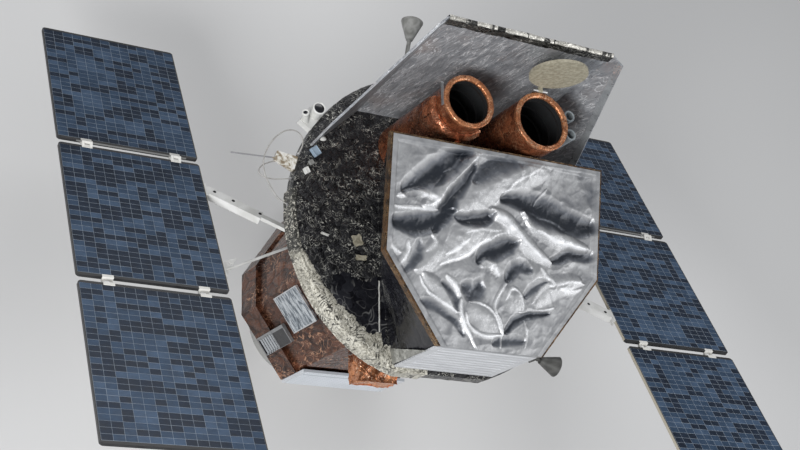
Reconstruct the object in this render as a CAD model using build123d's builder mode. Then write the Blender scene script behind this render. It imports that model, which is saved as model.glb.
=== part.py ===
from build123d import *
import os
from math import cos, pi, radians, sin, sqrt, tan

os.makedirs("parts", exist_ok=True)

# A gamma-ray astronomy satellite, standing upright on its launch adapter ring.
# Millimetres. Origin: centre of the ring's lower face. +Z is up and is the way the telescopes
# look, +X runs along the wings, +Y points to the sunshade and -Y to the coded mask's radiator.

# Launch adapter: bolted flange, cone and upper flange
adapter_flange_r = 470.0
adapter_flange_width = 42.0
adapter_flange_t = 20.0
adapter_height = 660.0
adapter_top_r = 560.0
adapter_wall = 10.0
adapter_bolt_count = 12
adapter_bolt_circle_r = 448.0
adapter_bolt_hole_r = 4.5

# Bus: a hexagonal prism with flats at +Y and -Y and narrow flats for the array drives at +X and -X
bus_half_depth = 678.0
bus_flat_half_width = 465.0
bus_side_x = 815.0
bus_side_half_width = 170.0
bus_height = 1590.0
bus_base_height = 290.0
bus_recess_height = 220.0
bus_recess_depth = 30.0
panel_gap = 0.3

# Radiators, louvres and the foil-wrapped box on the bus; heights are from the bus's foot
radiator_margin = 10.0
radiator_height = 416.0
radiator_lift = 4.0
radiator_t = 22.0
radiator_rib_count = 12
radiator_rib_height = 5.0
side_radiator_width = 310.0
side_radiator_height = 400.0
side_radiator_t = 18.0
side_radiator_shift = -123.0
side_radiator_up = 840.0
louvre_width = 160.0
louvre_height = 490.0
louvre_window_height = 250.0
louvre_depth = 26.0
louvre_rim = 12.0
louvre_floor = 6.0
louvre_lid_drop = 5.0
louvre_blade_count = 6
louvre_blade_t = 4.0
louvre_blade_angle = 35.0
louvre_shift = 2.0
louvre_up = 305.0
foil_box_x = -170.0
foil_box_width = 340.0
foil_box_depth = 237.0
foil_box_height = 230.0
foil_box_up = 1190.0
foil_box_slope = 60.0

# Instrument deck on its mounting ring
deck_ring_r = 560.0
deck_ring_wall = 40.0
deck_ring_height = 76.0
deck_r = 1185.0
deck_y = 140.0
deck_flat_y = -990.0
deck_t = 140.0
deck_edge_chamfer = 18.0

# Coded mask, tilted about X, on the tapered shield that stands on the deck; height from the deck
mask_centre_up = 811.0
mask_tilt = 10.0
mask_half_width = 866.0
mask_top_y = 422.0
mask_side_y = -388.0
mask_low_y = -977.0
mask_low_half_width = 420.0
mask_t = 40.0
mask_rim_width = 36.0
mask_rim_t = 52.0
shield_foot_half_width = 500.0
shield_foot_top_y = 350.0
shield_foot_side_y = -360.0
shield_foot_low_y = -950.0
shield_foot_low_half_width = 415.0
shield_inset = 12.0
wall_radiator_t = 14.0
wall_radiator_rib_count = 10
wall_radiator_rib_height = 4.0
wall_radiator_margin = 4.0

# Telescope tubes, with their heights from the deck
left_tube_x = -297.0
left_tube_y = 700.0
left_tube_r = 194.0
left_tube_height = 974.0
right_tube_x = 297.0
right_tube_y = 657.0
right_tube_r = 216.0
right_tube_height = 984.0
tube_wall = 14.0
tube_floor_t = 214.0
tube_lip_r = 7.0
cowl_gap = 0.3
cowl_t = 42.0
cowl_height = 420.0
cowl_drop = 110.0
cowl_start_angle = 165.0
cowl_sweep = 150.0
finder_r = 43.0
finder_bore_r = 30.0
finder_height = 190.0
finder_drop = 40.0
finder_pitch = 144.0
finder_shift = 34.0
finder_plate_t = 12.0
finder_seat_gap = 0.3

# Telescope door, shown open, hinged behind the right tube
door_open_angle = 91.0
door_r = 208.0
door_t = 10.0
door_lip_width = 12.0
door_lip_height = 12.0
door_hinge_back = 22.0
door_hinge_drop = 8.0
door_pin_r = 6.0
door_pin_gap = 0.3
door_knuckle_r = 13.0
door_knuckle_length = 36.0
door_arm_width = 30.0
door_arm_t = 8.0
door_hinge_half_span = 60.0

# Sunshade: a tall back panel and two side panels with slanted upper edges, height from the deck
shade_t = 10.0
shade_foot_half_width = 660.0
shade_foot_y = 950.0
shade_top_half_width = 670.0
shade_top_y = 1079.0
shade_height = 1364.0
shade_side_foot_x = 1040.0
shade_side_foot_y = 605.0
shade_side_share = 0.21
shade_side_top_reach = 103.0
shade_flange_width = 55.0
shade_flange_t = 6.0

# Array drives and wings; the wing plane passes through the drive axis, just below the bus's top
axis_drop = 100.0
wing_angle = 29.0
drive_flange_r = 95.0
drive_flange_t = 12.0
drive_barrel_r = 76.0
drive_length = 60.0
drive_bore_depth = 45.0
shaft_r = 30.0
shaft_gap = 0.3
shaft_collar_r = 52.0
shaft_collar_gap = 6.0
shaft_collar_t = 12.0
hub_gap = 30.0
hub_length = 60.0
hub_half_width = 62.0
hub_half_t = 30.0
panel_inner_x = 1653.0
panel_outer_x = 2700.0
panel_length = 1316.0
panel_spacing = 52.0
panel_t = 24.0
panel_corner = 26.0

# Yokes: a channel arm on one side of the axis and a thin strut with a gusset on the other
arm_root_s = 30.0
arm_foot_s = 385.0
arm_foot_length = 120.0
arm_foot_t = 12.0
bar_width = 42.0
bar_t = 24.0
channel_width = 80.0
channel_depth = 58.0
channel_top_n = 18.0
channel_wall = 4.0
channel_start_x = 1250.0
channel_bar_overlap = 130.0
channel_hole_r = 9.0
channel_hole_offset = 10.0
channel_hole_reaches = (65.0, 214.0, 428.0)
strut_root_s = 20.0
strut_foot_s = 440.0
strut_r = 10.0
gusset_t = 6.0
gusset_low_s = 355.0
gusset_high_s = 509.0
gusset_tip_s = 294.0
gusset_tip_reach = 122.0
gusset_slot_s = 364.0
gusset_slot_reach = 57.0
gusset_slot_length = 20.0
gusset_slot_r = 6.0
gusset_slot_angle = -45.0

# Fold hinges between the panels: clamps on the panel edges, knuckles and one long rod
hinge_places = (180.0, 840.0)
clamp_width = 76.0
clamp_overlap = 20.0
clamp_t = 4.0
hinge_offset = 24.0
hinge_rod_r = 6.0
hinge_rod_gap = 0.3
knuckle_r = 11.0
knuckle_gap = 1.0
outer_knuckle_width = 18.0
lug_half_t = 8.0
hinge_rod_overhang = 40.0

# Antennas and small units; the upper horn's height is from the deck's top, the others' from its foot
horn_mouth_r = 80.0
horn_neck_r = 26.0
horn_length = 150.0
horn_wall = 4.0
horn_stem_r = 15.0
top_horn_x = -620.0
top_horn_up = 654.0
top_horn_stem = 230.0
top_horn_turn = 11.0
horn_base_r = 36.0
horn_base_t = 10.0
low_horn_angle = -47.0
low_horn_up = 59.0
low_horn_stem = 60.0
low_horn_turn = 32.7
rod_angle = 164.0
rod_up = 74.0
rod_r = 6.0
rod_length = 395.0
rod_turn = 18.6
rod_start = 100.0
rod_bracket_length = 158.0
rod_bracket_foot_width = 106.0
rod_bracket_tip_width = 72.0
rod_bracket_height = 56.0
tracker_angle = 144.0
tracker_up = 74.0
tracker_bracket_depth = 104.0
tracker_bracket_from = -56.0
tracker_bracket_to = 112.0
tracker_bracket_t = 60.0
tracker_sink = 10.0

# Coaxial cables that stand free of the rim between their two connectors
coax_r = 4.5
coax_socket_size = 18.0

# Derived places
bus_top_z = adapter_height + bus_height
axis_z = bus_top_z - axis_drop
deck_low_z = bus_top_z + deck_ring_height
deck_top_z = deck_low_z + deck_t
mask_centre_z = deck_top_z + mask_centre_up
shade_top_z = deck_top_z + shade_height
drive_face_x = bus_side_x + drive_length
hub_x = drive_face_x + hub_gap
panel_pitch = panel_length + panel_spacing
hinge_s = panel_pitch / 2
panel_mid_x = (panel_inner_x + panel_outer_x) / 2
panel_width = panel_outer_x - panel_inner_x

parts = []


def finish(piece, label):
    """Label a finished piece and write it to its own file."""
    piece.part.label = label
    export_step(piece.part, f"parts/{label}.step")
    parts.append(piece.part)


# Launch adapter ring: flange with the bolt circle, cone wall and upper flange
with BuildPart() as adapter_ring:
    with BuildSketch(Plane.XZ) as adapter_profile:
        with BuildLine():
            inner_low = adapter_flange_r - adapter_flange_width
            inner_top = adapter_top_r - adapter_flange_width
            top_flange_z = adapter_height - adapter_flange_t
            cone_low_r = adapter_flange_r - adapter_wall
            cone_top_r = adapter_top_r - adapter_wall
            Polyline(
                (inner_low, 0),
                (adapter_flange_r, 0),
                (adapter_flange_r, adapter_flange_t),
                (adapter_top_r, top_flange_z),
                (adapter_top_r, adapter_height),
                (inner_top, adapter_height),
                (inner_top, top_flange_z),
                (cone_top_r, top_flange_z),
                (cone_low_r, adapter_flange_t),
                (inner_low, adapter_flange_t),
                close=True,
            )
        make_face()
    revolve(axis=Axis.Z)
    with BuildSketch(Plane.XY):
        with PolarLocations(adapter_bolt_circle_r, adapter_bolt_count):
            Circle(adapter_bolt_hole_r)
    extrude(amount=adapter_flange_t, mode=Mode.SUBTRACT)
finish(adapter_ring, "adapter_ring")


def bus_outline(inset):
    """The bus's plan, moved in by an inset, as corner points."""
    y, w, x, h = bus_half_depth, bus_flat_half_width, bus_side_x, bus_side_half_width
    with BuildSketch() as outline:
        Polygon((w, -y), (x, -h), (x, h), (w, y), (-w, y), (-x, h), (-x, -h), (-w, -y), align=None)
        if inset > 0:
            offset(amount=-inset, kind=Kind.INTERSECTION)
    return outline.sketch


bus_sections = (
    # height of the section, how far its faces stand back
    (bus_base_height, 0.0),
    (bus_recess_height, bus_recess_depth),
    (bus_height - bus_base_height - bus_recess_height, 0.0),
)
with BuildPart() as bus_body:
    section_z = adapter_height
    for section_height, section_inset in bus_sections:
        with BuildSketch(Plane.XY.offset(section_z)):
            add(bus_outline(section_inset))
        extrude(amount=section_height)
        section_z += section_height
finish(bus_body, "bus_body")

# White ribbed radiator on the bus's -Y face
radiator_plane = Plane(
    origin=(0, -bus_half_depth - panel_gap, adapter_height + radiator_lift), x_dir=(1, 0, 0), z_dir=(0, -1, 0)
)
radiator_width = 2 * (bus_flat_half_width - radiator_margin)
with BuildPart() as bus_radiator:
    with BuildSketch(radiator_plane):
        Rectangle(radiator_width, radiator_height, align=(Align.CENTER, Align.MIN))
    extrude(amount=radiator_t)
    rib_pitch = radiator_height / radiator_rib_count
    with BuildSketch(radiator_plane.offset(radiator_t)):
        for rib in range(radiator_rib_count):
            with Locations((0, (rib + 0.5) * rib_pitch)):
                Rectangle(radiator_width - 2 * rib_pitch, rib_pitch / 3)
    extrude(amount=radiator_rib_height)
finish(bus_radiator, "bus_radiator")

# Side radiators and louvre panels on the two slanted -Y faces
slant_run = bus_side_x - bus_flat_half_width
slant_rise = bus_half_depth - bus_side_half_width
slant_length = sqrt(slant_run**2 + slant_rise**2)


def slanted_face(side, up):
    """Plane on the slanted face: x_dir runs level, y_dir is up and z_dir points out."""
    x_mid = side * (bus_side_x + bus_flat_half_width) / 2
    y_mid = -(bus_half_depth + bus_side_half_width) / 2
    along = (slant_run / slant_length, side * slant_rise / slant_length, 0)
    out = (side * slant_rise / slant_length, -slant_run / slant_length, 0)
    return Plane(origin=(x_mid, y_mid, adapter_height + up), x_dir=along, z_dir=out).offset(panel_gap)


for side, side_name in ((-1, "left"), (1, "right")):
    radiator_shift = -side * side_radiator_shift
    with BuildPart() as side_radiator:
        with BuildSketch(slanted_face(side, side_radiator_up)):
            with Locations((radiator_shift, 0)):
                Rectangle(side_radiator_width, side_radiator_height)
        extrude(amount=side_radiator_t)
        chamfer(side_radiator.faces().sort_by(SortBy.AREA)[-1].edges(), side_radiator_t / 4)
    finish(side_radiator, f"side_radiator_{side_name}")

    louvre_face = slanted_face(side, louvre_up)
    shift = -side * louvre_shift
    window_width = louvre_width - 2 * louvre_rim
    window_v = (louvre_window_height - louvre_height) / 2 + louvre_rim
    lid_height = louvre_height - louvre_window_height - 3 * louvre_rim
    lid_v = (louvre_height - lid_height) / 2 - louvre_rim
    with BuildPart() as louvre:
        with BuildSketch(louvre_face):
            with Locations((shift, 0)):
                Rectangle(louvre_width, louvre_height)
        extrude(amount=louvre_depth)
        with BuildSketch(louvre_face.offset(louvre_floor)):
            with Locations((shift, window_v)):
                Rectangle(window_width, louvre_window_height)
        extrude(amount=louvre_depth, mode=Mode.SUBTRACT)
        with BuildSketch(louvre_face.offset(louvre_depth - louvre_lid_drop)):
            with Locations((shift, lid_v)):
                Rectangle(window_width, lid_height)
        extrude(amount=louvre_lid_drop, mode=Mode.SUBTRACT)
        blade_pitch = louvre_window_height / louvre_blade_count
        blade_width = louvre_depth - louvre_floor - louvre_blade_t / 2
        tilt = radians(louvre_blade_angle)
        blade_normal = louvre_face.z_dir * cos(tilt) + louvre_face.y_dir * sin(tilt)
        for blade in range(louvre_blade_count):
            blade_v = window_v + (blade + 0.5) * blade_pitch - louvre_window_height / 2
            blade_height = louvre_floor + blade_width / 2
            blade_centre = louvre_face.offset(blade_height).from_local_coords((shift, blade_v, 0))
            with BuildSketch(Plane(origin=blade_centre, x_dir=louvre_face.x_dir, z_dir=blade_normal)):
                Rectangle(window_width, blade_width)
            extrude(amount=louvre_blade_t / 2, both=True)
    finish(louvre, f"louvre_{side_name}")

# Foil-wrapped instrument box on the -Y face, above the radiator
with BuildPart() as foil_box:
    with BuildSketch(Plane.YZ.offset(foil_box_x - foil_box_width / 2)):
        box_in = -bus_half_depth - panel_gap
        box_out = box_in - foil_box_depth
        box_top = adapter_height + foil_box_up
        box_low = box_top - foil_box_height
        Polygon(
            (box_in, box_top), (box_out, box_top - foil_box_slope), (box_out, box_low), (box_in, box_low),
            align=None,
        )
    extrude(amount=foil_box_width)
finish(foil_box, "foil_box")

# Ring that carries the deck, and the round deck with a flat below the mask's wall
with BuildPart() as deck_ring:
    with BuildSketch(Plane.XY.offset(bus_top_z)):
        Circle(deck_ring_r)
    extrude(amount=deck_ring_height)
finish(deck_ring, "deck_ring")

with BuildPart() as instrument_deck:
    with BuildSketch(Plane.XY.offset(deck_low_z)):
        with Locations((0, deck_y)):
            Circle(deck_r)
        with Locations((0, deck_flat_y)):
            Rectangle(2 * deck_r, deck_r, align=(Align.CENTER, Align.MAX), mode=Mode.SUBTRACT)
    extrude(amount=deck_t)
    upright = instrument_deck.edges().filter_by(Axis.Z)
    chamfer(instrument_deck.edges() - upright, deck_edge_chamfer)
finish(instrument_deck, "instrument_deck")

# Coded mask, its rim that is open along the low edge, and the solid tapered shield below it
mask_plane = Plane(
    origin=(0, 0, mask_centre_z), x_dir=(1, 0, 0), z_dir=(0, -sin(radians(mask_tilt)), cos(radians(mask_tilt)))
)


def mask_outline(inset, low_inset):
    """The mask's hexagon with its edges moved in, the low edge by an amount of its own."""
    w, low = mask_half_width, mask_low_half_width
    extra = inset - low_inset
    slope = (w - low) / (mask_side_y - mask_low_y)
    low_x, low_y = low - slope * extra, mask_low_y - extra
    with BuildSketch() as outline:
        Polygon(
            (w, mask_top_y), (-w, mask_top_y), (-w, mask_side_y), (-low_x, low_y), (low_x, low_y),
            (w, mask_side_y), align=None,
        )
        if inset > 0:
            offset(amount=-inset, kind=Kind.INTERSECTION)
    return outline.sketch


with BuildPart() as mask_rim:
    with BuildSketch(mask_plane.offset(-mask_rim_t)):
        add(mask_outline(0, 0))
        add(mask_outline(mask_rim_width, 0), mode=Mode.SUBTRACT)
    extrude(amount=mask_rim_t)
finish(mask_rim, "mask_rim")

with BuildPart() as mask_panel:
    with BuildSketch(mask_plane.offset(-mask_rim_t)):
        add(mask_outline(mask_rim_width + panel_gap, 0))
    extrude(amount=mask_t)
finish(mask_panel, "mask_panel")

shield_top_plane = mask_plane.offset(-mask_rim_t - panel_gap)
with BuildPart() as mask_shield:
    with BuildSketch(Plane.XY.offset(deck_top_z)):
        foot_x, low_x = shield_foot_half_width, shield_foot_low_half_width
        Polygon(
            (foot_x, shield_foot_top_y), (-foot_x, shield_foot_top_y), (-foot_x, shield_foot_side_y),
            (-low_x, shield_foot_low_y), (low_x, shield_foot_low_y), (foot_x, shield_foot_side_y), align=None,
        )
    with BuildSketch(shield_top_plane):
        add(mask_outline(shield_inset, shield_inset))
    loft(ruled=True)
finish(mask_shield, "mask_shield")

# White ribbed radiator on the shield's -Y face
shield_top_low = shield_top_plane.from_local_coords((0, mask_low_y + shield_inset, 0))
wall_foot = Vector(0, shield_foot_low_y, deck_top_z)
wall_run = shield_top_low - wall_foot
wall_normal = Vector(1, 0, 0).cross(wall_run).normalized()
wall_plane = Plane(origin=wall_foot, x_dir=(1, 0, 0), z_dir=wall_normal).offset(panel_gap)
wall_height = wall_run.length
with BuildPart() as shield_radiator:
    rib_pitch = (wall_height - 2 * wall_radiator_margin) / wall_radiator_rib_count
    wall_half_width = mask_low_half_width - shield_inset - wall_radiator_margin
    with BuildSketch(wall_plane):
        with Locations((0, wall_height / 2)):
            Rectangle(2 * wall_half_width, wall_height - 2 * wall_radiator_margin)
    extrude(amount=wall_radiator_t)
    with BuildSketch(wall_plane.offset(wall_radiator_t)):
        for rib in range(wall_radiator_rib_count):
            with Locations((0, wall_radiator_margin + (rib + 0.5) * rib_pitch)):
                Rectangle(2 * wall_half_width - 2 * rib_pitch, rib_pitch / 3)
    extrude(amount=wall_radiator_rib_height)
finish(shield_radiator, "shield_radiator")

# Telescope tubes with closed feet and open mouths
tubes = (
    # name, x, y, outer radius, height
    ("left", left_tube_x, left_tube_y, left_tube_r, left_tube_height),
    ("right", right_tube_x, right_tube_y, right_tube_r, right_tube_height),
)
for tube_name, tube_x, tube_y, tube_r, tube_height in tubes:
    with BuildPart() as telescope_tube:
        with BuildSketch(Plane.XY.offset(deck_top_z)):
            with Locations((tube_x, tube_y)):
                Circle(tube_r)
        extrude(amount=tube_height)
        with BuildSketch(Plane.XY.offset(deck_top_z + tube_floor_t)):
            with Locations((tube_x, tube_y)):
                Circle(tube_r - tube_wall)
        extrude(amount=tube_height - tube_floor_t, mode=Mode.SUBTRACT)
        mouth = telescope_tube.faces().sort_by(Axis.Z)[-1]
        fillet(mouth.edges(), tube_lip_r * 0.9)
    finish(telescope_tube, f"telescope_tube_{tube_name}")

# Padded cowl round part of the left tube
with BuildPart() as tube_cowl:
    cowl_in = left_tube_r + cowl_gap
    cowl_out = cowl_in + cowl_t
    cowl_top = deck_top_z + left_tube_height - cowl_drop
    cowl_low = cowl_top - cowl_height
    cowl_axis = Axis((left_tube_x, left_tube_y, 0), (0, 0, 1))
    cowl_start = Plane(
        origin=(left_tube_x, left_tube_y, 0),
        x_dir=(cos(radians(cowl_start_angle)), sin(radians(cowl_start_angle)), 0),
        z_dir=(sin(radians(cowl_start_angle)), -cos(radians(cowl_start_angle)), 0),
    )
    with BuildSketch(cowl_start):
        Polygon(
            (cowl_in, cowl_top), (cowl_in, cowl_low), (cowl_in + cowl_t / 3, cowl_low),
            (cowl_out, cowl_top - cowl_height / 3), (cowl_out, cowl_top - cowl_t),
            (cowl_in + cowl_t / 2, cowl_top), align=None,
        )
    revolve(axis=cowl_axis, revolution_arc=cowl_sweep)
finish(tube_cowl, "tube_cowl")

# Two small finder tubes on a plate beside the right tube
right_tube_top_z = deck_top_z + right_tube_height
with BuildPart() as finder_pair:
    finder_x = right_tube_x + right_tube_r + finder_seat_gap + finder_plate_t + finder_r
    finder_y = right_tube_y + finder_shift
    finder_top = right_tube_top_z - finder_drop
    with BuildSketch(Plane.XY.offset(finder_top - finder_height)):
        with Locations((finder_x - finder_r - finder_plate_t / 2, finder_y)):
            Rectangle(finder_plate_t, finder_pitch)
        for finder_side in (-1, 1):
            with Locations((finder_x, finder_y + finder_side * finder_pitch / 2)):
                Circle(finder_r)
                Rectangle(finder_r + 1, finder_r, align=(Align.MAX, Align.CENTER))
    extrude(amount=finder_height)
    with BuildSketch(Plane.XY.offset(finder_top)):
        for finder_side in (-1, 1):
            with Locations((finder_x, finder_y + finder_side * finder_pitch / 2)):
                Circle(finder_bore_r)
    extrude(amount=-finder_height / 2, mode=Mode.SUBTRACT)
finish(finder_pair, "finder_pair")

# Door bracket behind the right tube: foot, two lugs and the pin
door_axis_y = right_tube_y + right_tube_r + door_hinge_back
door_axis_z = right_tube_top_z - door_hinge_drop
bracket_foot_y = right_tube_y + sqrt(right_tube_r**2 - door_hinge_half_span**2)
with BuildPart() as door_bracket:
    bracket_low_z = door_axis_z - 4 * door_knuckle_r
    with BuildSketch(Plane.XY.offset(bracket_low_z)):
        with Locations((right_tube_x, bracket_foot_y)):
            foot_reach = door_axis_y - bracket_foot_y - door_knuckle_r
            Rectangle(2 * door_hinge_half_span, foot_reach, align=(Align.CENTER, Align.MIN))
        with Locations((right_tube_x, right_tube_y)):
            Circle(right_tube_r + panel_gap, mode=Mode.SUBTRACT)
    extrude(amount=2 * door_knuckle_r)
    for lug_side in (-1, 1):
        lug_start = right_tube_x + lug_side * door_hinge_half_span
        with BuildSketch(Plane.YZ.offset(lug_start)):
            with Locations((door_axis_y, door_axis_z)):
                Circle(door_knuckle_r)
            Polygon(
                (door_axis_y - door_knuckle_r * 1.6, bracket_low_z),
                (door_axis_y + door_knuckle_r / 2, bracket_low_z),
                (door_axis_y + door_knuckle_r, door_axis_z),
                (door_axis_y - door_knuckle_r, door_axis_z),
                align=None,
            )
        extrude(amount=-lug_side * (door_hinge_half_span - door_knuckle_length / 2 - 1.0))
    with BuildSketch(Plane.YZ.offset(right_tube_x - door_hinge_half_span)):
        with Locations((door_axis_y, door_axis_z)):
            Circle(door_pin_r)
    extrude(amount=2 * door_hinge_half_span)
finish(door_bracket, "door_bracket")

# Door, built closed over the mouth and turned open about the pin
with BuildPart() as telescope_door:
    door_low_z = right_tube_top_z + door_t * 0.8
    with BuildSketch(Plane.XY.offset(door_low_z)):
        with Locations((right_tube_x, right_tube_y)):
            Circle(door_r)
    extrude(amount=door_t)
    with BuildSketch(Plane.XY.offset(door_low_z + door_t)):
        with Locations((right_tube_x, right_tube_y)):
            Circle(door_r)
            Circle(door_r - door_lip_width, mode=Mode.SUBTRACT)
    extrude(amount=door_lip_height)
    with BuildSketch(Plane.XY.offset(door_low_z)):
        with Locations((right_tube_x, right_tube_y + door_r / 2)):
            door_arm_length = door_axis_y - right_tube_y - door_r / 2 + door_knuckle_r
            Rectangle(door_arm_width, door_arm_length, align=(Align.CENTER, Align.MIN))
    extrude(amount=door_t)
    with BuildSketch(Plane.YZ.offset(right_tube_x - door_knuckle_length / 2)):
        with Locations((door_axis_y, door_axis_z)):
            Circle(door_knuckle_r)
            Rectangle(2 * door_knuckle_r, door_low_z - door_axis_z + 1, align=(Align.CENTER, Align.MIN))
            Circle(door_pin_r + door_pin_gap, mode=Mode.SUBTRACT)
    extrude(amount=door_knuckle_length)
door_pin_axis = Axis((right_tube_x, door_axis_y, door_axis_z), (1, 0, 0))
telescope_door.part = telescope_door.part.rotate(door_pin_axis, -door_open_angle)
finish(telescope_door, "telescope_door")

# Sunshade: back panel, and side panels that share its fold lines
fold_foot = Vector(shade_foot_half_width, shade_foot_y, deck_top_z)
fold_top = Vector(shade_top_half_width, shade_top_y, shade_top_z)
back_run = Vector(0, shade_top_y - shade_foot_y, shade_top_z - deck_top_z)
back_plane = Plane(
    origin=(0, shade_foot_y, deck_top_z), x_dir=(-1, 0, 0), z_dir=Vector(-1, 0, 0).cross(back_run).normalized()
)
with BuildPart() as sunshade_back:
    with BuildSketch(back_plane):
        Polygon(
            (-shade_foot_half_width, 0), (shade_foot_half_width, 0), (shade_top_half_width, back_run.length),
            (-shade_top_half_width, back_run.length), align=None,
        )
    extrude(amount=shade_t)
    split(bisect_by=Plane.XY.offset(deck_top_z), keep=Keep.TOP)
finish(sunshade_back, "sunshade_back")

for side, side_name in ((-1, "left"), (1, "right")):
    foot = Vector(side * fold_foot.X, fold_foot.Y, fold_foot.Z)
    top = Vector(side * fold_top.X, fold_top.Y, fold_top.Z)
    edge_foot = Vector(side * shade_side_foot_x, shade_side_foot_y, deck_top_z)
    knee = edge_foot + (top - foot) * shade_side_share
    along = (edge_foot - foot).normalized()
    outward = along.cross(top - foot).normalized() * side * -1
    side_top = top + along * shade_side_top_reach
    side_plane = Plane(origin=foot, x_dir=along, z_dir=outward)
    corners = [side_plane.to_local_coords(point) for point in (foot, edge_foot, knee, side_top, top)]
    outline = [(corner.X, corner.Y) for corner in corners]
    with BuildPart() as sunshade_side:
        with BuildSketch(side_plane):
            Polygon(*outline, align=None)
        extrude(amount=shade_t)
        split(bisect_by=Plane.XY.offset(deck_top_z), keep=Keep.TOP)
    finish(sunshade_side, f"sunshade_{side_name}")

    free_edge = [outline[1], outline[2], outline[3]]
    inner_edge = [(u - shade_flange_width, v) for u, v in reversed(free_edge)]
    with BuildPart() as sunshade_flange:
        with BuildSketch(side_plane.offset(-panel_gap)):
            Polygon(*free_edge, *inner_edge, align=None)
            Polygon(*outline, align=None, mode=Mode.INTERSECT)
        extrude(amount=-shade_flange_t)
        split(bisect_by=Plane.XY.offset(deck_top_z), keep=Keep.TOP)
    finish(sunshade_flange, f"sunshade_flange_{side_name}")

# Planes of the wings: s runs along the row of panels, n stands off the cell side
wing_along = Vector(0, cos(radians(wing_angle)), -sin(radians(wing_angle)))
wing_normal = Vector(0, sin(radians(wing_angle)), cos(radians(wing_angle)))
wing_plane = Plane(origin=(0, 0, axis_z), x_dir=(1, 0, 0), z_dir=wing_normal)


def across(x):
    """Section plane at x, whose sketches are drawn in s and n."""
    return Plane(origin=(x, 0, axis_z), x_dir=wing_along, z_dir=(1, 0, 0))


def lug(s_sign, n_sign, block_side):
    """Sketch of one hinge lug: a block over the panel's edge and an arm to the pin."""
    edge_s = panel_length / 2 if block_side < 0 else panel_length / 2 + panel_spacing
    pin_s = hinge_s
    reach = block_side * (pin_s - edge_s) * -1
    with BuildSketch() as shape:
        with Locations((s_sign * pin_s, n_sign * hinge_offset)):
            Circle(knuckle_r)
        near = edge_s + block_side * clamp_overlap / 2
        step = Vector(pin_s - near, hinge_offset - panel_t / 3).normalized()
        side_step = Vector(-step.Y, step.X)
        start = Vector(near, panel_t / 3)
        end = Vector(pin_s, hinge_offset)
        arm = (
            start + side_step * lug_half_t, start - side_step * lug_half_t,
            end - side_step * knuckle_r, end + side_step * knuckle_r,
        )
        Polygon(*[(s_sign * point.X, n_sign * point.Y) for point in arm], align=None)
    return shape.sketch


hinge_lines = (
    # side of the middle panel along s, side of the pin off the wing plane
    (1, 1),
    (-1, -1),
)
half_clamp = clamp_width / 2
inner_knuckle_half = half_clamp - outer_knuckle_width - knuckle_gap

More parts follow.
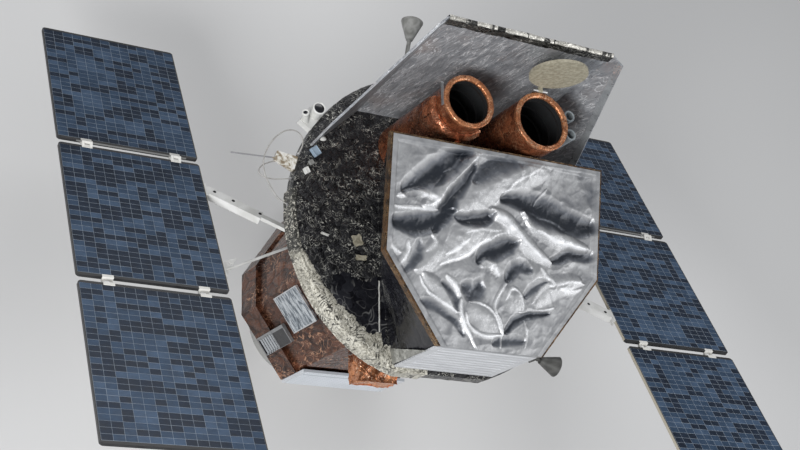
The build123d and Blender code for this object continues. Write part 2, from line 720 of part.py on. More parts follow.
for side, side_name in ((-1, "left"), (1, "right")):
    # Array drive, fixed on the bus: flange, barrel and the shaft's bore
    with BuildPart() as wing_drive:
        with BuildSketch(Plane.YZ.offset(side * (bus_side_x + panel_gap))):
            with Locations((0, axis_z)):
                Circle(drive_flange_r)
        extrude(amount=side * drive_flange_t)
        with BuildSketch(Plane.YZ.offset(side * (bus_side_x + drive_flange_t))):
            with Locations((0, axis_z)):
                Circle(drive_barrel_r)
        extrude(amount=side * (drive_length - drive_flange_t))
        with BuildSketch(Plane.YZ.offset(side * (drive_face_x - drive_bore_depth))):
            with Locations((0, axis_z)):
                Circle(shaft_r + shaft_gap)
        extrude(amount=side * drive_bore_depth, mode=Mode.SUBTRACT)
    finish(wing_drive, f"wing_drive_{side_name}")

    # Hub: shaft, collar and the block that holds the yoke
    with BuildPart() as wing_hub:
        shaft_start = drive_face_x - drive_bore_depth + shaft_collar_gap
        with BuildSketch(Plane.YZ.offset(side * shaft_start)):
            with Locations((0, axis_z)):
                Circle(shaft_r)
        extrude(amount=side * (hub_x - shaft_start))
        with BuildSketch(Plane.YZ.offset(side * (drive_face_x + shaft_collar_gap))):
            with Locations((0, axis_z)):
                Circle(shaft_collar_r)
        extrude(amount=side * shaft_collar_t)
        with BuildSketch(across(side * hub_x)):
            Rectangle(2 * hub_half_width, 2 * hub_half_t)
        extrude(amount=side * hub_length)
    finish(wing_hub, f"wing_hub_{side_name}")

    # Yoke: the right wing's is the left one turned half round, so arm and strut change sides
    arm_side = -side
    yoke_root_x = hub_x + hub_length + panel_gap
    foot_x = panel_inner_x - panel_gap - arm_foot_t
    arm_root = Vector(side * yoke_root_x, arm_side * arm_root_s)
    arm_foot = Vector(side * (foot_x + arm_foot_t / 2), arm_side * arm_foot_s)
    arm_run = arm_foot - arm_root
    arm_along = wing_plane.from_local_coords(arm_foot) - wing_plane.from_local_coords(arm_root)
    arm_plane = Plane(origin=wing_plane.from_local_coords(arm_foot), x_dir=arm_along * -1, z_dir=wing_normal)
    channel_length = arm_run.length * (foot_x - channel_start_x) / (foot_x - yoke_root_x)
    bar_length = arm_run.length - channel_length + channel_bar_overlap
    hole_side = side * arm_side * -1
    trim_root = Plane.YZ.offset(side * yoke_root_x)
    trim_foot = Plane.YZ.offset(side * (foot_x + arm_foot_t))
    keep_out, keep_in = (Keep.TOP, Keep.BOTTOM) if side > 0 else (Keep.BOTTOM, Keep.TOP)
    with BuildPart() as yoke_arm:
        with BuildSketch(arm_plane.offset(-bar_t / 2)):
            with Locations((channel_length - channel_bar_overlap, 0)):
                Rectangle(bar_length + bar_width, bar_width, align=(Align.MIN, Align.CENTER))
        extrude(amount=channel_top_n - channel_wall / 2 + bar_t / 2)
        with BuildSketch(arm_plane.offset(channel_top_n)):
            Rectangle(channel_length, channel_width, align=(Align.MIN, Align.CENTER))
        extrude(amount=-channel_wall)
        with BuildSketch(arm_plane.offset(channel_top_n)):
            for wall_side in (-1, 1):
                with Locations((0, wall_side * (channel_width - channel_wall) / 2)):
                    Rectangle(channel_length, channel_wall, align=(Align.MIN, Align.CENTER))
        extrude(amount=-channel_depth)
        with BuildSketch(arm_plane.offset(channel_top_n)):
            for reach in channel_hole_reaches:
                with Locations((reach, hole_side * channel_hole_offset)):
                    Circle(channel_hole_r)
        extrude(amount=-channel_wall, mode=Mode.SUBTRACT)
        with BuildSketch(across(side * foot_x)):
            with Locations((arm_side * arm_foot_s, channel_top_n)):
                Rectangle(arm_foot_length, channel_depth, align=(Align.CENTER, Align.MAX))
        extrude(amount=side * arm_foot_t)
        split(bisect_by=trim_root, keep=keep_out)
        split(bisect_by=trim_foot, keep=keep_in)
    finish(yoke_arm, f"yoke_arm_{side_name}")

    strut_side = -arm_side
    foot_end_x = side * (foot_x + arm_foot_t)
    strut_root = wing_plane.from_local_coords((side * (yoke_root_x - strut_r), strut_side * strut_root_s, 0))
    strut_foot = wing_plane.from_local_coords((foot_end_x, strut_side * strut_foot_s, 0))
    gusset_outline = (
        # distance in from the panel's edge, distance from the drive's axis
        (0, gusset_low_s),
        (gusset_tip_reach, gusset_tip_s),
        (0, gusset_high_s),
    )
    with BuildPart() as yoke_strut:
        with BuildSketch(Plane(origin=strut_root, z_dir=strut_foot - strut_root)):
            Circle(strut_r)
        extrude(amount=(strut_foot - strut_root).length + strut_r)
        with BuildSketch(wing_plane.offset(-gusset_t / 2)):
            Polygon(*[(foot_end_x - side * reach, strut_side * s) for reach, s in gusset_outline], align=None)
            with Locations((foot_end_x - side * gusset_slot_reach, strut_side * gusset_slot_s)):
                slot_turn = side * strut_side * gusset_slot_angle
                SlotCenterToCenter(gusset_slot_length, 2 * gusset_slot_r, rotation=slot_turn, mode=Mode.SUBTRACT)
        extrude(amount=gusset_t)
        with BuildSketch(across(side * foot_x)):
            with Locations((strut_side * (gusset_low_s + gusset_high_s) / 2, 0)):
                Rectangle(gusset_high_s - gusset_low_s, 2 * strut_r)
        extrude(amount=side * arm_foot_t)
        split(bisect_by=trim_root, keep=keep_out)
        split(bisect_by=trim_foot, keep=keep_in)
    finish(yoke_strut, f"yoke_strut_{side_name}")

    # Panels: the middle one carries the pins, its neighbours the lugs between
    for panel_place, panel_name in ((1, "upper"), (0, "middle"), (-1, "lower")):
        with BuildPart() as panel:
            with BuildSketch(wing_plane.offset(-panel_t / 2)):
                with Locations((side * panel_mid_x, panel_place * panel_pitch)):
                    RectangleRounded(panel_width, panel_length, panel_corner)
            extrude(amount=panel_t)
            for s_sign, n_sign in hinge_lines:
                if panel_place not in (0, s_sign):
                    continue
                block_side = -1 if panel_place == 0 else 1
                edge_s = panel_length / 2 if block_side < 0 else panel_length / 2 + panel_spacing
                block_mid_s = edge_s + block_side * (clamp_overlap - clamp_t) / 2
                for place in hinge_places:
                    place_x = side * (panel_inner_x + place)
                    with BuildSketch(across(place_x)):
                        with Locations((s_sign * block_mid_s, 0)):
                            Rectangle(clamp_overlap + clamp_t, panel_t + 2 * clamp_t)
                    extrude(amount=half_clamp, both=True)
                    if panel_place == 0:
                        for lug_side in (-1, 1):
                            lug_x = place_x + lug_side * (half_clamp - outer_knuckle_width / 2)
                            with BuildSketch(across(lug_x)):
                                add(lug(s_sign, n_sign, block_side))
                            extrude(amount=outer_knuckle_width / 2, both=True)
                    else:
                        with BuildSketch(across(place_x)):
                            add(lug(s_sign, n_sign, block_side))
                        extrude(amount=inner_knuckle_half, both=True)
                        with BuildSketch(across(place_x)):
                            with Locations((s_sign * hinge_s, n_sign * hinge_offset)):
                                Circle(hinge_rod_r + hinge_rod_gap)
                        extrude(amount=half_clamp, both=True, mode=Mode.SUBTRACT)
                if panel_place == 0:
                    rod_from = panel_inner_x + hinge_places[0] - half_clamp - hinge_rod_overhang
                    rod_to = panel_inner_x + hinge_places[1] + half_clamp + hinge_rod_overhang
                    with BuildSketch(across(side * rod_from)):
                        with Locations((s_sign * hinge_s, n_sign * hinge_offset)):
                            Circle(hinge_rod_r)
                    extrude(amount=side * (rod_to - rod_from))
        finish(panel, f"panel_{panel_name}_{side_name}")


def deck_rim(angle, up, out=0.0):
    """Plane off the deck's rim, z_dir pointing out and x_dir level; up is from the deck's foot."""
    heading = Vector(cos(radians(angle)), sin(radians(angle)), 0)
    origin = Vector(0, deck_y, deck_low_z + up) + heading * (deck_r + panel_gap + out)
    return Plane(origin=origin, x_dir=(-heading.Y, heading.X, 0), z_dir=heading)


def horn(plane, stem):
    """Stem, cone and hollow mouth, along the plane's normal."""
    profile_plane = Plane(origin=plane.origin, x_dir=plane.x_dir, z_dir=plane.z_dir.cross(plane.x_dir) * -1)
    tip = stem + horn_length
    with BuildPart() as body:
        with BuildSketch(profile_plane):
            Polygon(
                (0, 0), (horn_stem_r, 0), (horn_stem_r, stem), (horn_neck_r, stem), (horn_mouth_r, tip),
                (horn_mouth_r - horn_wall, tip), (horn_neck_r - horn_wall, stem + horn_wall),
                (0, stem + horn_wall), align=None,
            )
        revolve(axis=Axis(plane.origin, plane.z_dir))
    return body.part


# Horn antenna on the sunshade's back
with BuildPart() as horn_upper:
    back_share = top_horn_up / back_run.Z
    back_point = Vector(top_horn_x, shade_foot_y + back_share * back_run.Y, deck_top_z + top_horn_up)
    back_face = Plane(origin=back_point, x_dir=(1, 0, 0), z_dir=back_plane.z_dir)
    base_plane = back_face.offset(shade_t + panel_gap)
    with BuildSketch(base_plane):
        Circle(horn_base_r)
    extrude(amount=horn_base_t)
    heading = Vector(sin(radians(top_horn_turn)), cos(radians(top_horn_turn)), 0)
    horn_foot = base_plane.offset(horn_base_t / 2).origin
    add(horn(Plane(origin=horn_foot, x_dir=(heading.Y, -heading.X, 0), z_dir=heading), top_horn_stem))
finish(horn_upper, "horn_upper")

# Horn antenna on the deck's rim
with BuildPart() as horn_lower:
    rim_plane = deck_rim(low_horn_angle, low_horn_up)
    with BuildSketch(rim_plane):
        Rectangle(2 * horn_base_r, 2 * horn_base_r)
    extrude(amount=low_horn_stem)
    horn_heading = radians(low_horn_angle + low_horn_turn)
    heading = Vector(cos(horn_heading), sin(horn_heading), 0)
    horn_foot = rim_plane.offset(low_horn_stem - horn_stem_r).origin
    add(horn(Plane(origin=horn_foot, x_dir=(-heading.Y, heading.X, 0), z_dir=heading), low_horn_stem))
finish(horn_lower, "horn_lower")

# Rod antenna on a tapering bracket
with BuildPart() as rod_antenna:
    rod_plane = deck_rim(rod_angle, rod_up)
    with BuildSketch(rod_plane):
        Rectangle(rod_bracket_foot_width, rod_bracket_height)
    with BuildSketch(rod_plane.offset(rod_bracket_length)):
        Rectangle(rod_bracket_tip_width, rod_bracket_height / 2)
    loft(ruled=True)
    rod_heading = radians(rod_angle + rod_turn)
    rod_foot = rod_plane.offset(rod_start).origin
    with BuildSketch(Plane(origin=rod_foot, z_dir=(cos(rod_heading), sin(rod_heading), 0))):
        Circle(rod_r)
    extrude(amount=rod_length)
finish(rod_antenna, "rod_antenna")

# Star trackers side by side on a bracket on the rim
tracker_barrels = (
    # place along the rim, distance out, radius, length, lean outwards
    (-8.0, 48.0, 45.0, 110.0, 6.0),
    (82.0, 66.0, 24.0, 96.0, 30.0),
)
with BuildPart() as star_trackers:
    bracket_plane = deck_rim(tracker_angle, tracker_up)
    with BuildSketch(bracket_plane):
        with Locations((tracker_bracket_from, -tracker_bracket_t / 2)):
            bracket_width = tracker_bracket_to - tracker_bracket_from
            Rectangle(bracket_width, tracker_bracket_t, align=(Align.MIN, Align.MIN))
    extrude(amount=tracker_bracket_depth)
    for barrel_x, barrel_out, barrel_r, barrel_length, barrel_lean in tracker_barrels:
        barrel_plane = bracket_plane.offset(barrel_out)
        barrel_foot = barrel_plane.from_local_coords((barrel_x, tracker_bracket_t / 2 - tracker_sink, 0))
        lean = radians(barrel_lean)
        barrel_axis = bracket_plane.z_dir * sin(lean) + Vector(0, 0, cos(lean))
        with BuildSketch(Plane(origin=barrel_foot, z_dir=barrel_axis)):
            Circle(barrel_r)
        extrude(amount=barrel_length)
finish(star_trackers, "star_trackers")

# Coaxial cables: sockets on the rim and a free loop between them
socket_out = coax_socket_size / 2
coax_routes = (
    # name, then points: angle round the deck, distance out from the rim, height over the deck's foot
    ("long", (
        (160.6, socket_out, 108.0), (159.4, 15.0, 164.0), (157.5, 38.0, 204.0), (156.5, 88.0, 224.0),
        (157.0, 147.0, 234.0), (158.9, 203.0, 234.0), (162.0, 245.0, 224.0), (165.8, 271.0, 204.0),
        (169.1, 270.0, 174.0), (171.9, 236.0, 144.0), (174.1, 185.0, 114.0), (176.1, 134.0, 94.0),
        (178.2, 84.0, 80.0), (179.4, socket_out, 74.0),
    )),
    ("short", (
        (169.7, socket_out, 72.0), (171.1, 81.0, 69.0), (171.9, 169.0, 59.0), (171.3, 224.0, 49.0),
        (169.9, 246.0, 41.0), (167.8, 222.0, 34.0), (165.7, 168.0, 28.0), (163.9, 105.0, 24.0),
        (163.4, 62.0, 23.0), (162.9, socket_out, 27.0),
    )),
)
for route_name, route in coax_routes:
    path = [deck_rim(angle, up, out).origin for angle, out, up in route]
    steps = [end - start for start, end in zip(path, path[1:])]
    radii = []
    for before, after in zip(steps, steps[1:]):
        half_turn = radians(before.get_angle(after)) / 2
        radii.append(0.45 * min(before.length, after.length) / tan(half_turn))
    print(f"coax {route_name}: radii {[round(radius) for radius in radii]}")
    with BuildPart() as coax_tube:
        with BuildLine() as coax_line:
            FilletPolyline(*path, radius=radii)
        with BuildSketch(Plane(origin=path[0], z_dir=steps[0])):
            Circle(coax_r)
        sweep(path=coax_line.wires()[0])
    section_volume = pi * coax_r**2 * coax_line.wires()[0].length
    print(f"coax {route_name}: volume {coax_tube.part.volume:.0f}, section times length {section_volume:.0f}")
    with BuildPart() as coax:
        add(coax_tube.part)
        for angle, out, up in (route[0], route[-1]):
            with BuildSketch(deck_rim(angle, up)):
                Rectangle(coax_socket_size, coax_socket_size)
            extrude(amount=coax_socket_size)
    finish(coax, f"coax_{route_name}")
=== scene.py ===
from math import atan2, cos, degrees, hypot, pi, radians, sin

import bmesh
import bpy
from mathutils import Matrix, Vector, noise


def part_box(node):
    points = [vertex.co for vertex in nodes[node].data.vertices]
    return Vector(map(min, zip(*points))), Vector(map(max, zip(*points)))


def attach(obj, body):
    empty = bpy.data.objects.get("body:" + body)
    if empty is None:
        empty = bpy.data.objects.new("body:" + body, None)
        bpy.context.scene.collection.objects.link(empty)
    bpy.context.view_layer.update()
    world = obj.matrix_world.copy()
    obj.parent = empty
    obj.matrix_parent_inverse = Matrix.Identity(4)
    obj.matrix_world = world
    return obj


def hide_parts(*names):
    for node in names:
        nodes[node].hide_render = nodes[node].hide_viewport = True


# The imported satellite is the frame. Metres, with the launch adapter ring's lower face at z = 0,
# +X along the wings and +Y to the sunshade.
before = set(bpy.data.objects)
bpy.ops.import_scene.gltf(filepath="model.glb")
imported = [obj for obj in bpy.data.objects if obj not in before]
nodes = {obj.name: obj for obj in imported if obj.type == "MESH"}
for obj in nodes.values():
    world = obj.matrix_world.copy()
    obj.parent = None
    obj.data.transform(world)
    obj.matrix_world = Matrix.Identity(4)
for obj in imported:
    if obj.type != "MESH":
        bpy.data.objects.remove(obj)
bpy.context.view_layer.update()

# Camera at the photograph's viewing angle, above the left wing and looking down on the coded mask.
# Its place, turn and lens were fitted to points of the photograph.
camera_data = bpy.data.cameras.new("camera")
camera_data.lens = 63.16
camera_data.sensor_width = 36.0
camera_data.clip_end = 200.0
camera = bpy.data.objects.new("camera", camera_data)
bpy.context.scene.collection.objects.link(camera)
camera_right = Vector((0.87585, -0.0259, 0.48189))
camera_up = Vector((-0.13664, 0.94438, 0.29911))
camera_back = Vector((-0.46284, -0.32782, 0.8236))
camera_turn = Matrix((camera_right, camera_up, camera_back)).transposed()
camera.matrix_world = Matrix.Translation((-5.0692, -3.2556, 10.9071)) @ camera_turn.to_4x4()
bpy.context.scene.camera = camera

# Studio: a pale floor, a soft even world, one broad key lamp on the mask's side and weaker fills.
# The key is strong against the world, so that folds in the foils have a light and a dark side.
bpy.context.scene.view_settings.view_transform = "Standard"
world = bpy.data.worlds.new("studio")
world.use_nodes = True
sky = world.node_tree.nodes["Background"].inputs
sky["Color"].default_value = (0.8, 0.82, 0.85, 1.0)
sky["Strength"].default_value = 0.4
bpy.context.scene.world = world
floor_bm = bmesh.new()
bmesh.ops.create_grid(floor_bm, x_segments=1, y_segments=1, size=60.0)
floor_mesh = bpy.data.meshes.new("floor")
floor_bm.to_mesh(floor_mesh)
floor = bpy.data.objects.new("floor", floor_mesh)
bpy.context.scene.collection.objects.link(floor)
floor_paint = bpy.data.materials.new("floor_paint")
floor_paint.use_nodes = True
floor_shader = floor_paint.node_tree.nodes["Principled BSDF"].inputs
floor_shader["Base Color"].default_value = (0.64, 0.64, 0.64, 1.0)
floor_shader["Roughness"].default_value = 0.9
floor_mesh.materials.append(floor_paint)
lamp_aim = Vector((0.0, 0.0, 2.4))
for lamp_name, lamp_place, lamp_size, lamp_watts in (
    ("key", (-7.0, -6.0, 8.5), 4.0, 1060.0),
    ("fill", (7.0, -3.0, 8.0), 6.0, 260.0),
    ("back", (0.5, 8.0, 8.0), 5.0, 300.0),
):
    lamp_data = bpy.data.lights.new(lamp_name, "AREA")
    lamp_data.size = lamp_size
    lamp_data.energy = lamp_watts
    lamp = bpy.data.objects.new(lamp_name, lamp_data)
    lamp.location = lamp_place
    lamp.rotation_euler = (lamp_aim - Vector(lamp_place)).to_track_quat("-Z", "Y").to_euler()
    bpy.context.scene.collection.objects.link(lamp)


# Launch adapter: a spun aluminium cone between two bolted flanges, turned on a lathe and chromate
# treated, with a row of rivets round each flange. The twelve bolt holes stay open.
def wired(tree, kind, sockets=None, **settings):
    """One shader node, its settings, and for each socket either a value or another node's output."""
    node = tree.nodes.new(kind)
    for setting, value in settings.items():
        setattr(node, setting, value)
    for socket, value in (sockets or {}).items():
        if isinstance(value, bpy.types.NodeSocket):
            tree.links.new(value, node.inputs[socket])
        else:
            node.inputs[socket].default_value = value
    return node


def new_finish(name, roughness, metallic=0.0, coat=0.0):
    """A material whose single values stand on the shader's own sockets."""
    material = bpy.data.materials.new(name)
    material.use_nodes = True
    shader = material.node_tree.nodes["Principled BSDF"]
    shader.inputs["Roughness"].default_value = roughness
    shader.inputs["Metallic"].default_value = metallic
    shader.inputs["Coat Weight"].default_value = coat
    return material, material.node_tree, shader


def on_object(tree, stretch=(1.0, 1.0, 1.0), turn=(0.0, 0.0, 0.0)):
    """Object coordinates, stretched and turned for a pattern with a grain."""
    place = wired(tree, "ShaderNodeTexCoord").outputs["Object"]
    return wired(tree, "ShaderNodeMapping", {"Vector": place, "Scale": stretch, "Rotation": turn}).outputs["Vector"]


def cloud(vector, scale, detail=3.0, distortion=0.0):
    """Noise between 0 and 1."""
    sockets = {"Vector": vector, "Scale": scale, "Detail": detail, "Distortion": distortion}
    return wired(vector.id_data, "ShaderNodeTexNoise", sockets).outputs[0]


def spread(value, low, high, to_low=0.0, to_high=1.0):
    """Map a value's range to another, clamped."""
    sockets = {"Value": value, "From Min": low, "From Max": high, "To Min": to_low, "To Max": to_high}
    return wired(value.id_data, "ShaderNodeMapRange", sockets).outputs["Result"]


def maths(operation, first, second=0.0):
    """One Math node; the helpers below name the common ones."""
    return wired(first.id_data, "ShaderNodeMath", {0: first, 1: second}, operation=operation).outputs[0]


def times(first, second):
    """Product."""
    return maths("MULTIPLY", first, second)


def plus(first, second):
    """Sum."""
    return maths("ADD", first, second)


def mean(first, second):
    """Half of the sum."""
    return times(plus(first, second), 0.5)


def tones(value, stops):
    """Colour ramp through (place, colour) stops."""
    ramp = wired(value.id_data, "ShaderNodeValToRGB", {"Fac": value})
    for index, (place, colour) in enumerate(stops):
        stop = ramp.color_ramp.elements[index] if index < 2 else ramp.color_ramp.elements.new(place)
        stop.position = place
        stop.color = (*colour, 1.0)
    return ramp.outputs["Color"]


def finish_surface(shader, colour, wear, height, depth):
    """Wire colour, roughness as (noise, at its low end, at its high end) and a bump of a depth in metres."""
    worn, at_low, at_high = wear
    tree = shader.id_data
    tree.links.new(colour, shader.inputs["Base Color"])
    tree.links.new(spread(worn, 0.3, 0.7, at_low, at_high), shader.inputs["Roughness"])
    bump = wired(tree, "ShaderNodeBump", {"Height": height, "Distance": depth})
    tree.links.new(bump.outputs["Normal"], shader.inputs["Normal"])


def metal(name, dark, light, roughness, grain=(1.0, 1.0, 30.0), scale=6.0, metallic=0.85):
    """Worked metal: tone drifts along the grain, with fine tool marks across it."""
    material, tree, shader = new_finish(name, roughness, metallic)
    marks = cloud(on_object(tree, grain), scale * 4, 4.0)
    drift = cloud(on_object(tree), scale, 4.0)
    colour = tones(mean(marks, drift), ((0.3, dark), (0.7, light)))
    finish_surface(shader, colour, (drift, roughness * 0.75, roughness * 1.3), marks, 0.0006)
    return material


def dress(node_name, material):
    """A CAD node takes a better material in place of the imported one."""
    mesh = nodes[node_name].data
    mesh.materials.clear()
    mesh.materials.append(material)


def add_piece(name, piece_bm, materials, body="satellite", replaced=(), smooth=True, outward=False):
    """A finished bmesh becomes a piece that rides on a body and takes the given finishes."""
    if outward:
        bmesh.ops.recalc_face_normals(piece_bm, faces=piece_bm.faces)
    mesh = bpy.data.meshes.new(name)
    piece_bm.to_mesh(mesh)
    piece_bm.free()
    for material in materials:
        mesh.materials.append(material)
    if smooth:
        mesh.shade_smooth()
    piece = bpy.data.objects.new(name, mesh)
    bpy.context.scene.collection.objects.link(piece)
    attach(piece, body)
    if replaced:
        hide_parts(*replaced)
    return piece


def heading(angle):
    """Level direction at an angle in degrees round from +X."""
    return Vector((cos(radians(angle)), sin(radians(angle)), 0.0))


def place_on(foot, axis):
    """Matrix that stands a shape on a foot with its z along an axis."""
    return Matrix.Translation(foot) @ Vector((0.0, 0.0, 1.0)).rotation_difference(Vector(axis)).to_matrix().to_4x4()


def add_screw(piece_bm, foot, axis, head_r, head_h, sides=6):
    """One screw or rivet head on a foot point."""
    bmesh.ops.create_cone(
        piece_bm, cap_ends=True, segments=sides, radius1=head_r, radius2=head_r * 0.8, depth=head_h,
        matrix=place_on(foot, axis) @ Matrix.Translation((0.0, 0.0, head_h / 2)),
    )


adapter_alloy = metal("adapter_alloy", (0.42, 0.42, 0.41), (0.66, 0.66, 0.64), 0.34, (1.0, 1.0, 40.0))
screw_steel = metal("screw_steel", (0.38, 0.38, 0.39), (0.62, 0.62, 0.63), 0.3)
dress("adapter_ring", adapter_alloy)
adapter_rivets = bmesh.new()
rivet_count = 72
for index in range(rivet_count):
    outward = heading(360.0 * index / rivet_count)
    for flange_r, flange_z, rivet_r, rivet_h in ((0.5596, 0.65, 0.006, 0.003), (0.4697, 0.01, 0.0045, 0.0025)):
        add_screw(adapter_rivets, outward * flange_r + Vector((0.0, 0.0, flange_z)), outward, rivet_r, rivet_h, 8)
add_piece("adapter_rivets", adapter_rivets, [screw_steel], smooth=False)


# Bus body: aluminium honeycomb panels under blankets of copper-brown film, which crumples between
# its tapes and is smooth where it is stretched. The deck's mounting ring wears the same film.
def triangle_wave(value):
    """From 0 to 1 and back over one unit."""
    return abs((value % 1.0) - 0.5) * 2.0


def pressed(point, size, directions):
    """Height from 0 to 1 of crumpled film: flat facets that meet in straight, sharp creases."""
    drift = noise.noise_vector(point / (size * 1.6)) * size * 0.5
    waves = [triangle_wave((point + drift).dot(direction) / size + offset) for direction, offset in directions]
    return max(waves[0], waves[1]) * 0.5 + max(waves[2], waves[3]) * 0.3 + min(waves[4], waves[5]) * 0.2


def crease_directions(seed):
    """Six directions of creases, the same each run."""
    found = []
    for index in range(6):
        mark = noise.cell_vector(Vector((seed * 7.3 + index * 3.1, index * 5.7, seed * 2.9)))
        direction = Vector((mark.x - 0.5, mark.y - 0.5, mark.z - 0.5)).normalized()
        found.append((direction, mark.x + mark.y))
    return found


def cut_fine(node_name, pitch):
    """A merged copy of a CAD node's mesh, cut by planes into cells of about one pitch."""
    piece_bm = bmesh.new()
    piece_bm.from_mesh(nodes[node_name].data)
    bmesh.ops.remove_doubles(piece_bm, verts=piece_bm.verts, dist=0.00002)
    bmesh.ops.dissolve_limit(piece_bm, angle_limit=radians(0.6), verts=piece_bm.verts, edges=piece_bm.edges)
    low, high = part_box(node_name)
    for axis in range(3):
        normal = Vector((0.0, 0.0, 0.0))
        normal[axis] = 1.0
        steps = max(1, round((high[axis] - low[axis]) / pitch))
        for step in range(1, steps):
            across = normal * (low[axis] + (high[axis] - low[axis]) * step / steps)
            near = [face for face in piece_bm.faces if any(v.co[axis] > across[axis] for v in face.verts)]
            geometry = {*near, *(part for face in near for part in (*face.edges, *face.verts))}
            bmesh.ops.bisect_plane(piece_bm, geom=list(geometry), dist=0.00001, plane_co=across, plane_no=normal)
    bmesh.ops.triangulate(piece_bm, faces=piece_bm.faces)
    piece_bm.normal_update()
    return piece_bm


def crumple(piece_bm, size, depth, lift, seed, calm=None):
    """Press a fine mesh into creases: depth below and lift above its face; calm scales it by place."""
    directions = crease_directions(seed)
    small = crease_directions(seed + 0.5)
    moves = []
    for vertex in piece_bm.verts:
        share = 1.0 if calm is None else calm(vertex.co)
        height = 0.75 * pressed(vertex.co, size, directions) + 0.25 * pressed(vertex.co, size * 0.4, small)
        moves.append(vertex.normal * ((height * (depth + lift) - depth) * share))
    for vertex, move in zip(piece_bm.verts, moves):
        vertex.co += move


def wrap(node_name, piece_name, film, pitch, creases, calm=None):
    """Crumpled film in place of a CAD node; creases are size, depth, lift and seed."""
    cover = cut_fine(node_name, pitch)
    crumple(cover, *creases, calm)
    add_piece(piece_name, cover, [film], replaced=[node_name], smooth=False)


def minus(first, second):
    """Difference."""
    return maths("SUBTRACT", first, second)


def apart(first, second):
    """Difference without its sign."""
    return maths("ABSOLUTE", minus(first, second))


def laid_over(share, under, over):
    """Colour over another by a share from 0 to 1; each is a colour or an output."""
    under, over = (part if isinstance(part, bpy.types.NodeSocket) else (*part, 1.0) for part in (under, over))
    return wired(share.id_data, "ShaderNodeMix", {0: share, 6: under, 7: over}, data_type="RGBA").outputs[2]


def foil(
    name, deep, body, painted_glint, crease, roughness, metallic, press,
    painted_glints=0.5, stretch=(1.0, 1.0, 1.0), worm=2.0, crease_shade=0.0, speckle=0.5,
):
    """Crinkled film: facets from deep to body colour, painted highlights as short bright lines along creases, and bump.
    """
    material, tree, shader = new_finish(name, roughness, metallic)
    laid = on_object(tree, stretch)
    drift = wired(tree, "ShaderNodeTexNoise", {"Vector": laid, "Scale": crease * 0.7, "Detail": 2.0}).outputs[1]
    bend = {0: drift, 1: (1.2 / crease,) * 3, 2: laid}
    bent = wired(tree, "ShaderNodeVectorMath", bend, operation="MULTIPLY_ADD").outputs[0]
    cells = {"Vector": bent, "Scale": crease}
    facets = wired(tree, "ShaderNodeTexVoronoi", cells).outputs["Color"]
    edges = wired(tree, "ShaderNodeTexVoronoi", cells, feature="DISTANCE_TO_EDGE").outputs["Distance"]
    fine = cloud(bent, crease * 4.0, 4.0)
    line = spread(apart(cloud(laid, crease * worm, 1.0, 1.4), 0.5), 0.006, 0.03, 1.0, 0.0)
    patch = cloud(laid, crease * 0.45, 3.0)
    colour = tones(plus(times(facets, 1.05 - speckle), times(fine, speckle)), ((0.25, deep), (0.8, body)))
    # Painted shade: the crease lines between facets are darkened by crease_shade.
    if crease_shade:
        colour = laid_over(spread(edges, 0.02, 0.14, crease_shade, 0.0), colour, tuple(part * 0.3 for part in deep))
    # Painted highlights: short bright lines in the glint colour, shown in patches.
    colour = laid_over(times(line, spread(patch, 0.42, 0.62, 0.0, painted_glints)), colour, painted_glint)
    height = plus(maths("MINIMUM", edges, 0.25), times(fine, 0.35))
    finish_surface(shader, colour, (fine, roughness * 0.7, roughness * 1.35), height, press)
    return material


def bus_calm(point):
    """Film is stretched smooth on the upper part of the face under the mask's radiator."""
    return 0.35 if point.y < -0.45 and point.z > 1.9 else 1.0


# One seed, so that every run folds and crumples the films alike
fold_seed = 11
noise.seed_set(fold_seed)
bus_film = foil(
    "copper_brown_film", (0.028, 0.009, 0.005), (0.175, 0.068, 0.036), (0.62, 0.34, 0.21), 11.0, 0.3, 0.5, 0.012,
    painted_glints=0.85, stretch=(1.0, 1.0, 0.45), worm=1.5, crease_shade=0.6, speckle=0.44,
)
wrap("bus_body", "bus_film_cover", bus_film, 0.03, (0.11, 0.007, 0.0, 3), bus_calm)
dress("deck_ring", bus_film)


# Radiators on the bus: the big one is an aluminium plate under white optical tiles, ribbed behind its
# mask side; the two on the slanted faces wear silvered film, rolled on by hand, in a thin frame.
def tile_lines(laid, pitch, gap, soft):
    """1 on the lines between square tiles and 0 on the tiles."""
    sizes = {"Scale": 1.0, "Brick Width": pitch, "Row Height": pitch, "Mortar Size": gap, "Mortar Smooth": soft}
    return wired(laid.id_data, "ShaderNodeTexBrick", {"Vector": laid, **sizes}, offset=0.0).outputs["Fac"]


upright_face = (radians(-90.0), 0.0, 0.0)
white_tiles, tree, shader = new_finish("white_radiator_tiles", 0.3, 0.0, 0.25)
laid = on_object(tree, turn=upright_face)
gaps = tile_lines(laid, 0.04, 0.0012, 0.3)
drift = cloud(laid, 5.0, 5.0)
shade = tones(drift, ((0.35, (0.63, 0.657, 0.693)), (0.65, (0.70, 0.73, 0.77))))
finish_surface(shader, laid_over(gaps, shade, (0.45, 0.48, 0.52)), (drift, 0.3, 0.45), times(gaps, -1.0), 0.0008)
dress("bus_radiator", white_tiles)
silver_tape, tree, shader = new_finish("silvered_tape", 0.28, 0.6)
laid = on_object(tree, (1.0, 1.0, 3.4))
streaks = cloud(laid, 6.5, 1.5, 2.0)
ripple = cloud(laid, 16.0, 2.0, 0.8)
# Painted reflections: the film's streaks run from dark to light.
painted_reflection_streaks = tones(streaks, ((0.38, (0.14, 0.165, 0.19)), (0.48, (0.36, 0.40, 0.44)), (0.60, (0.66, 0.70, 0.73))))
finish_surface(shader, painted_reflection_streaks, (ripple, 0.24, 0.36), plus(streaks, ripple), 0.005)
frame_alloy = metal("frame_alloy", (0.55, 0.56, 0.58), (0.78, 0.79, 0.80), 0.32)
frame_across, frame_high, frame_bar, frame_thick = 0.314, 0.404, 0.012, 0.003
plate_half = 0.0088
slant = Vector((0.508, 0.350, 0.0)).normalized()
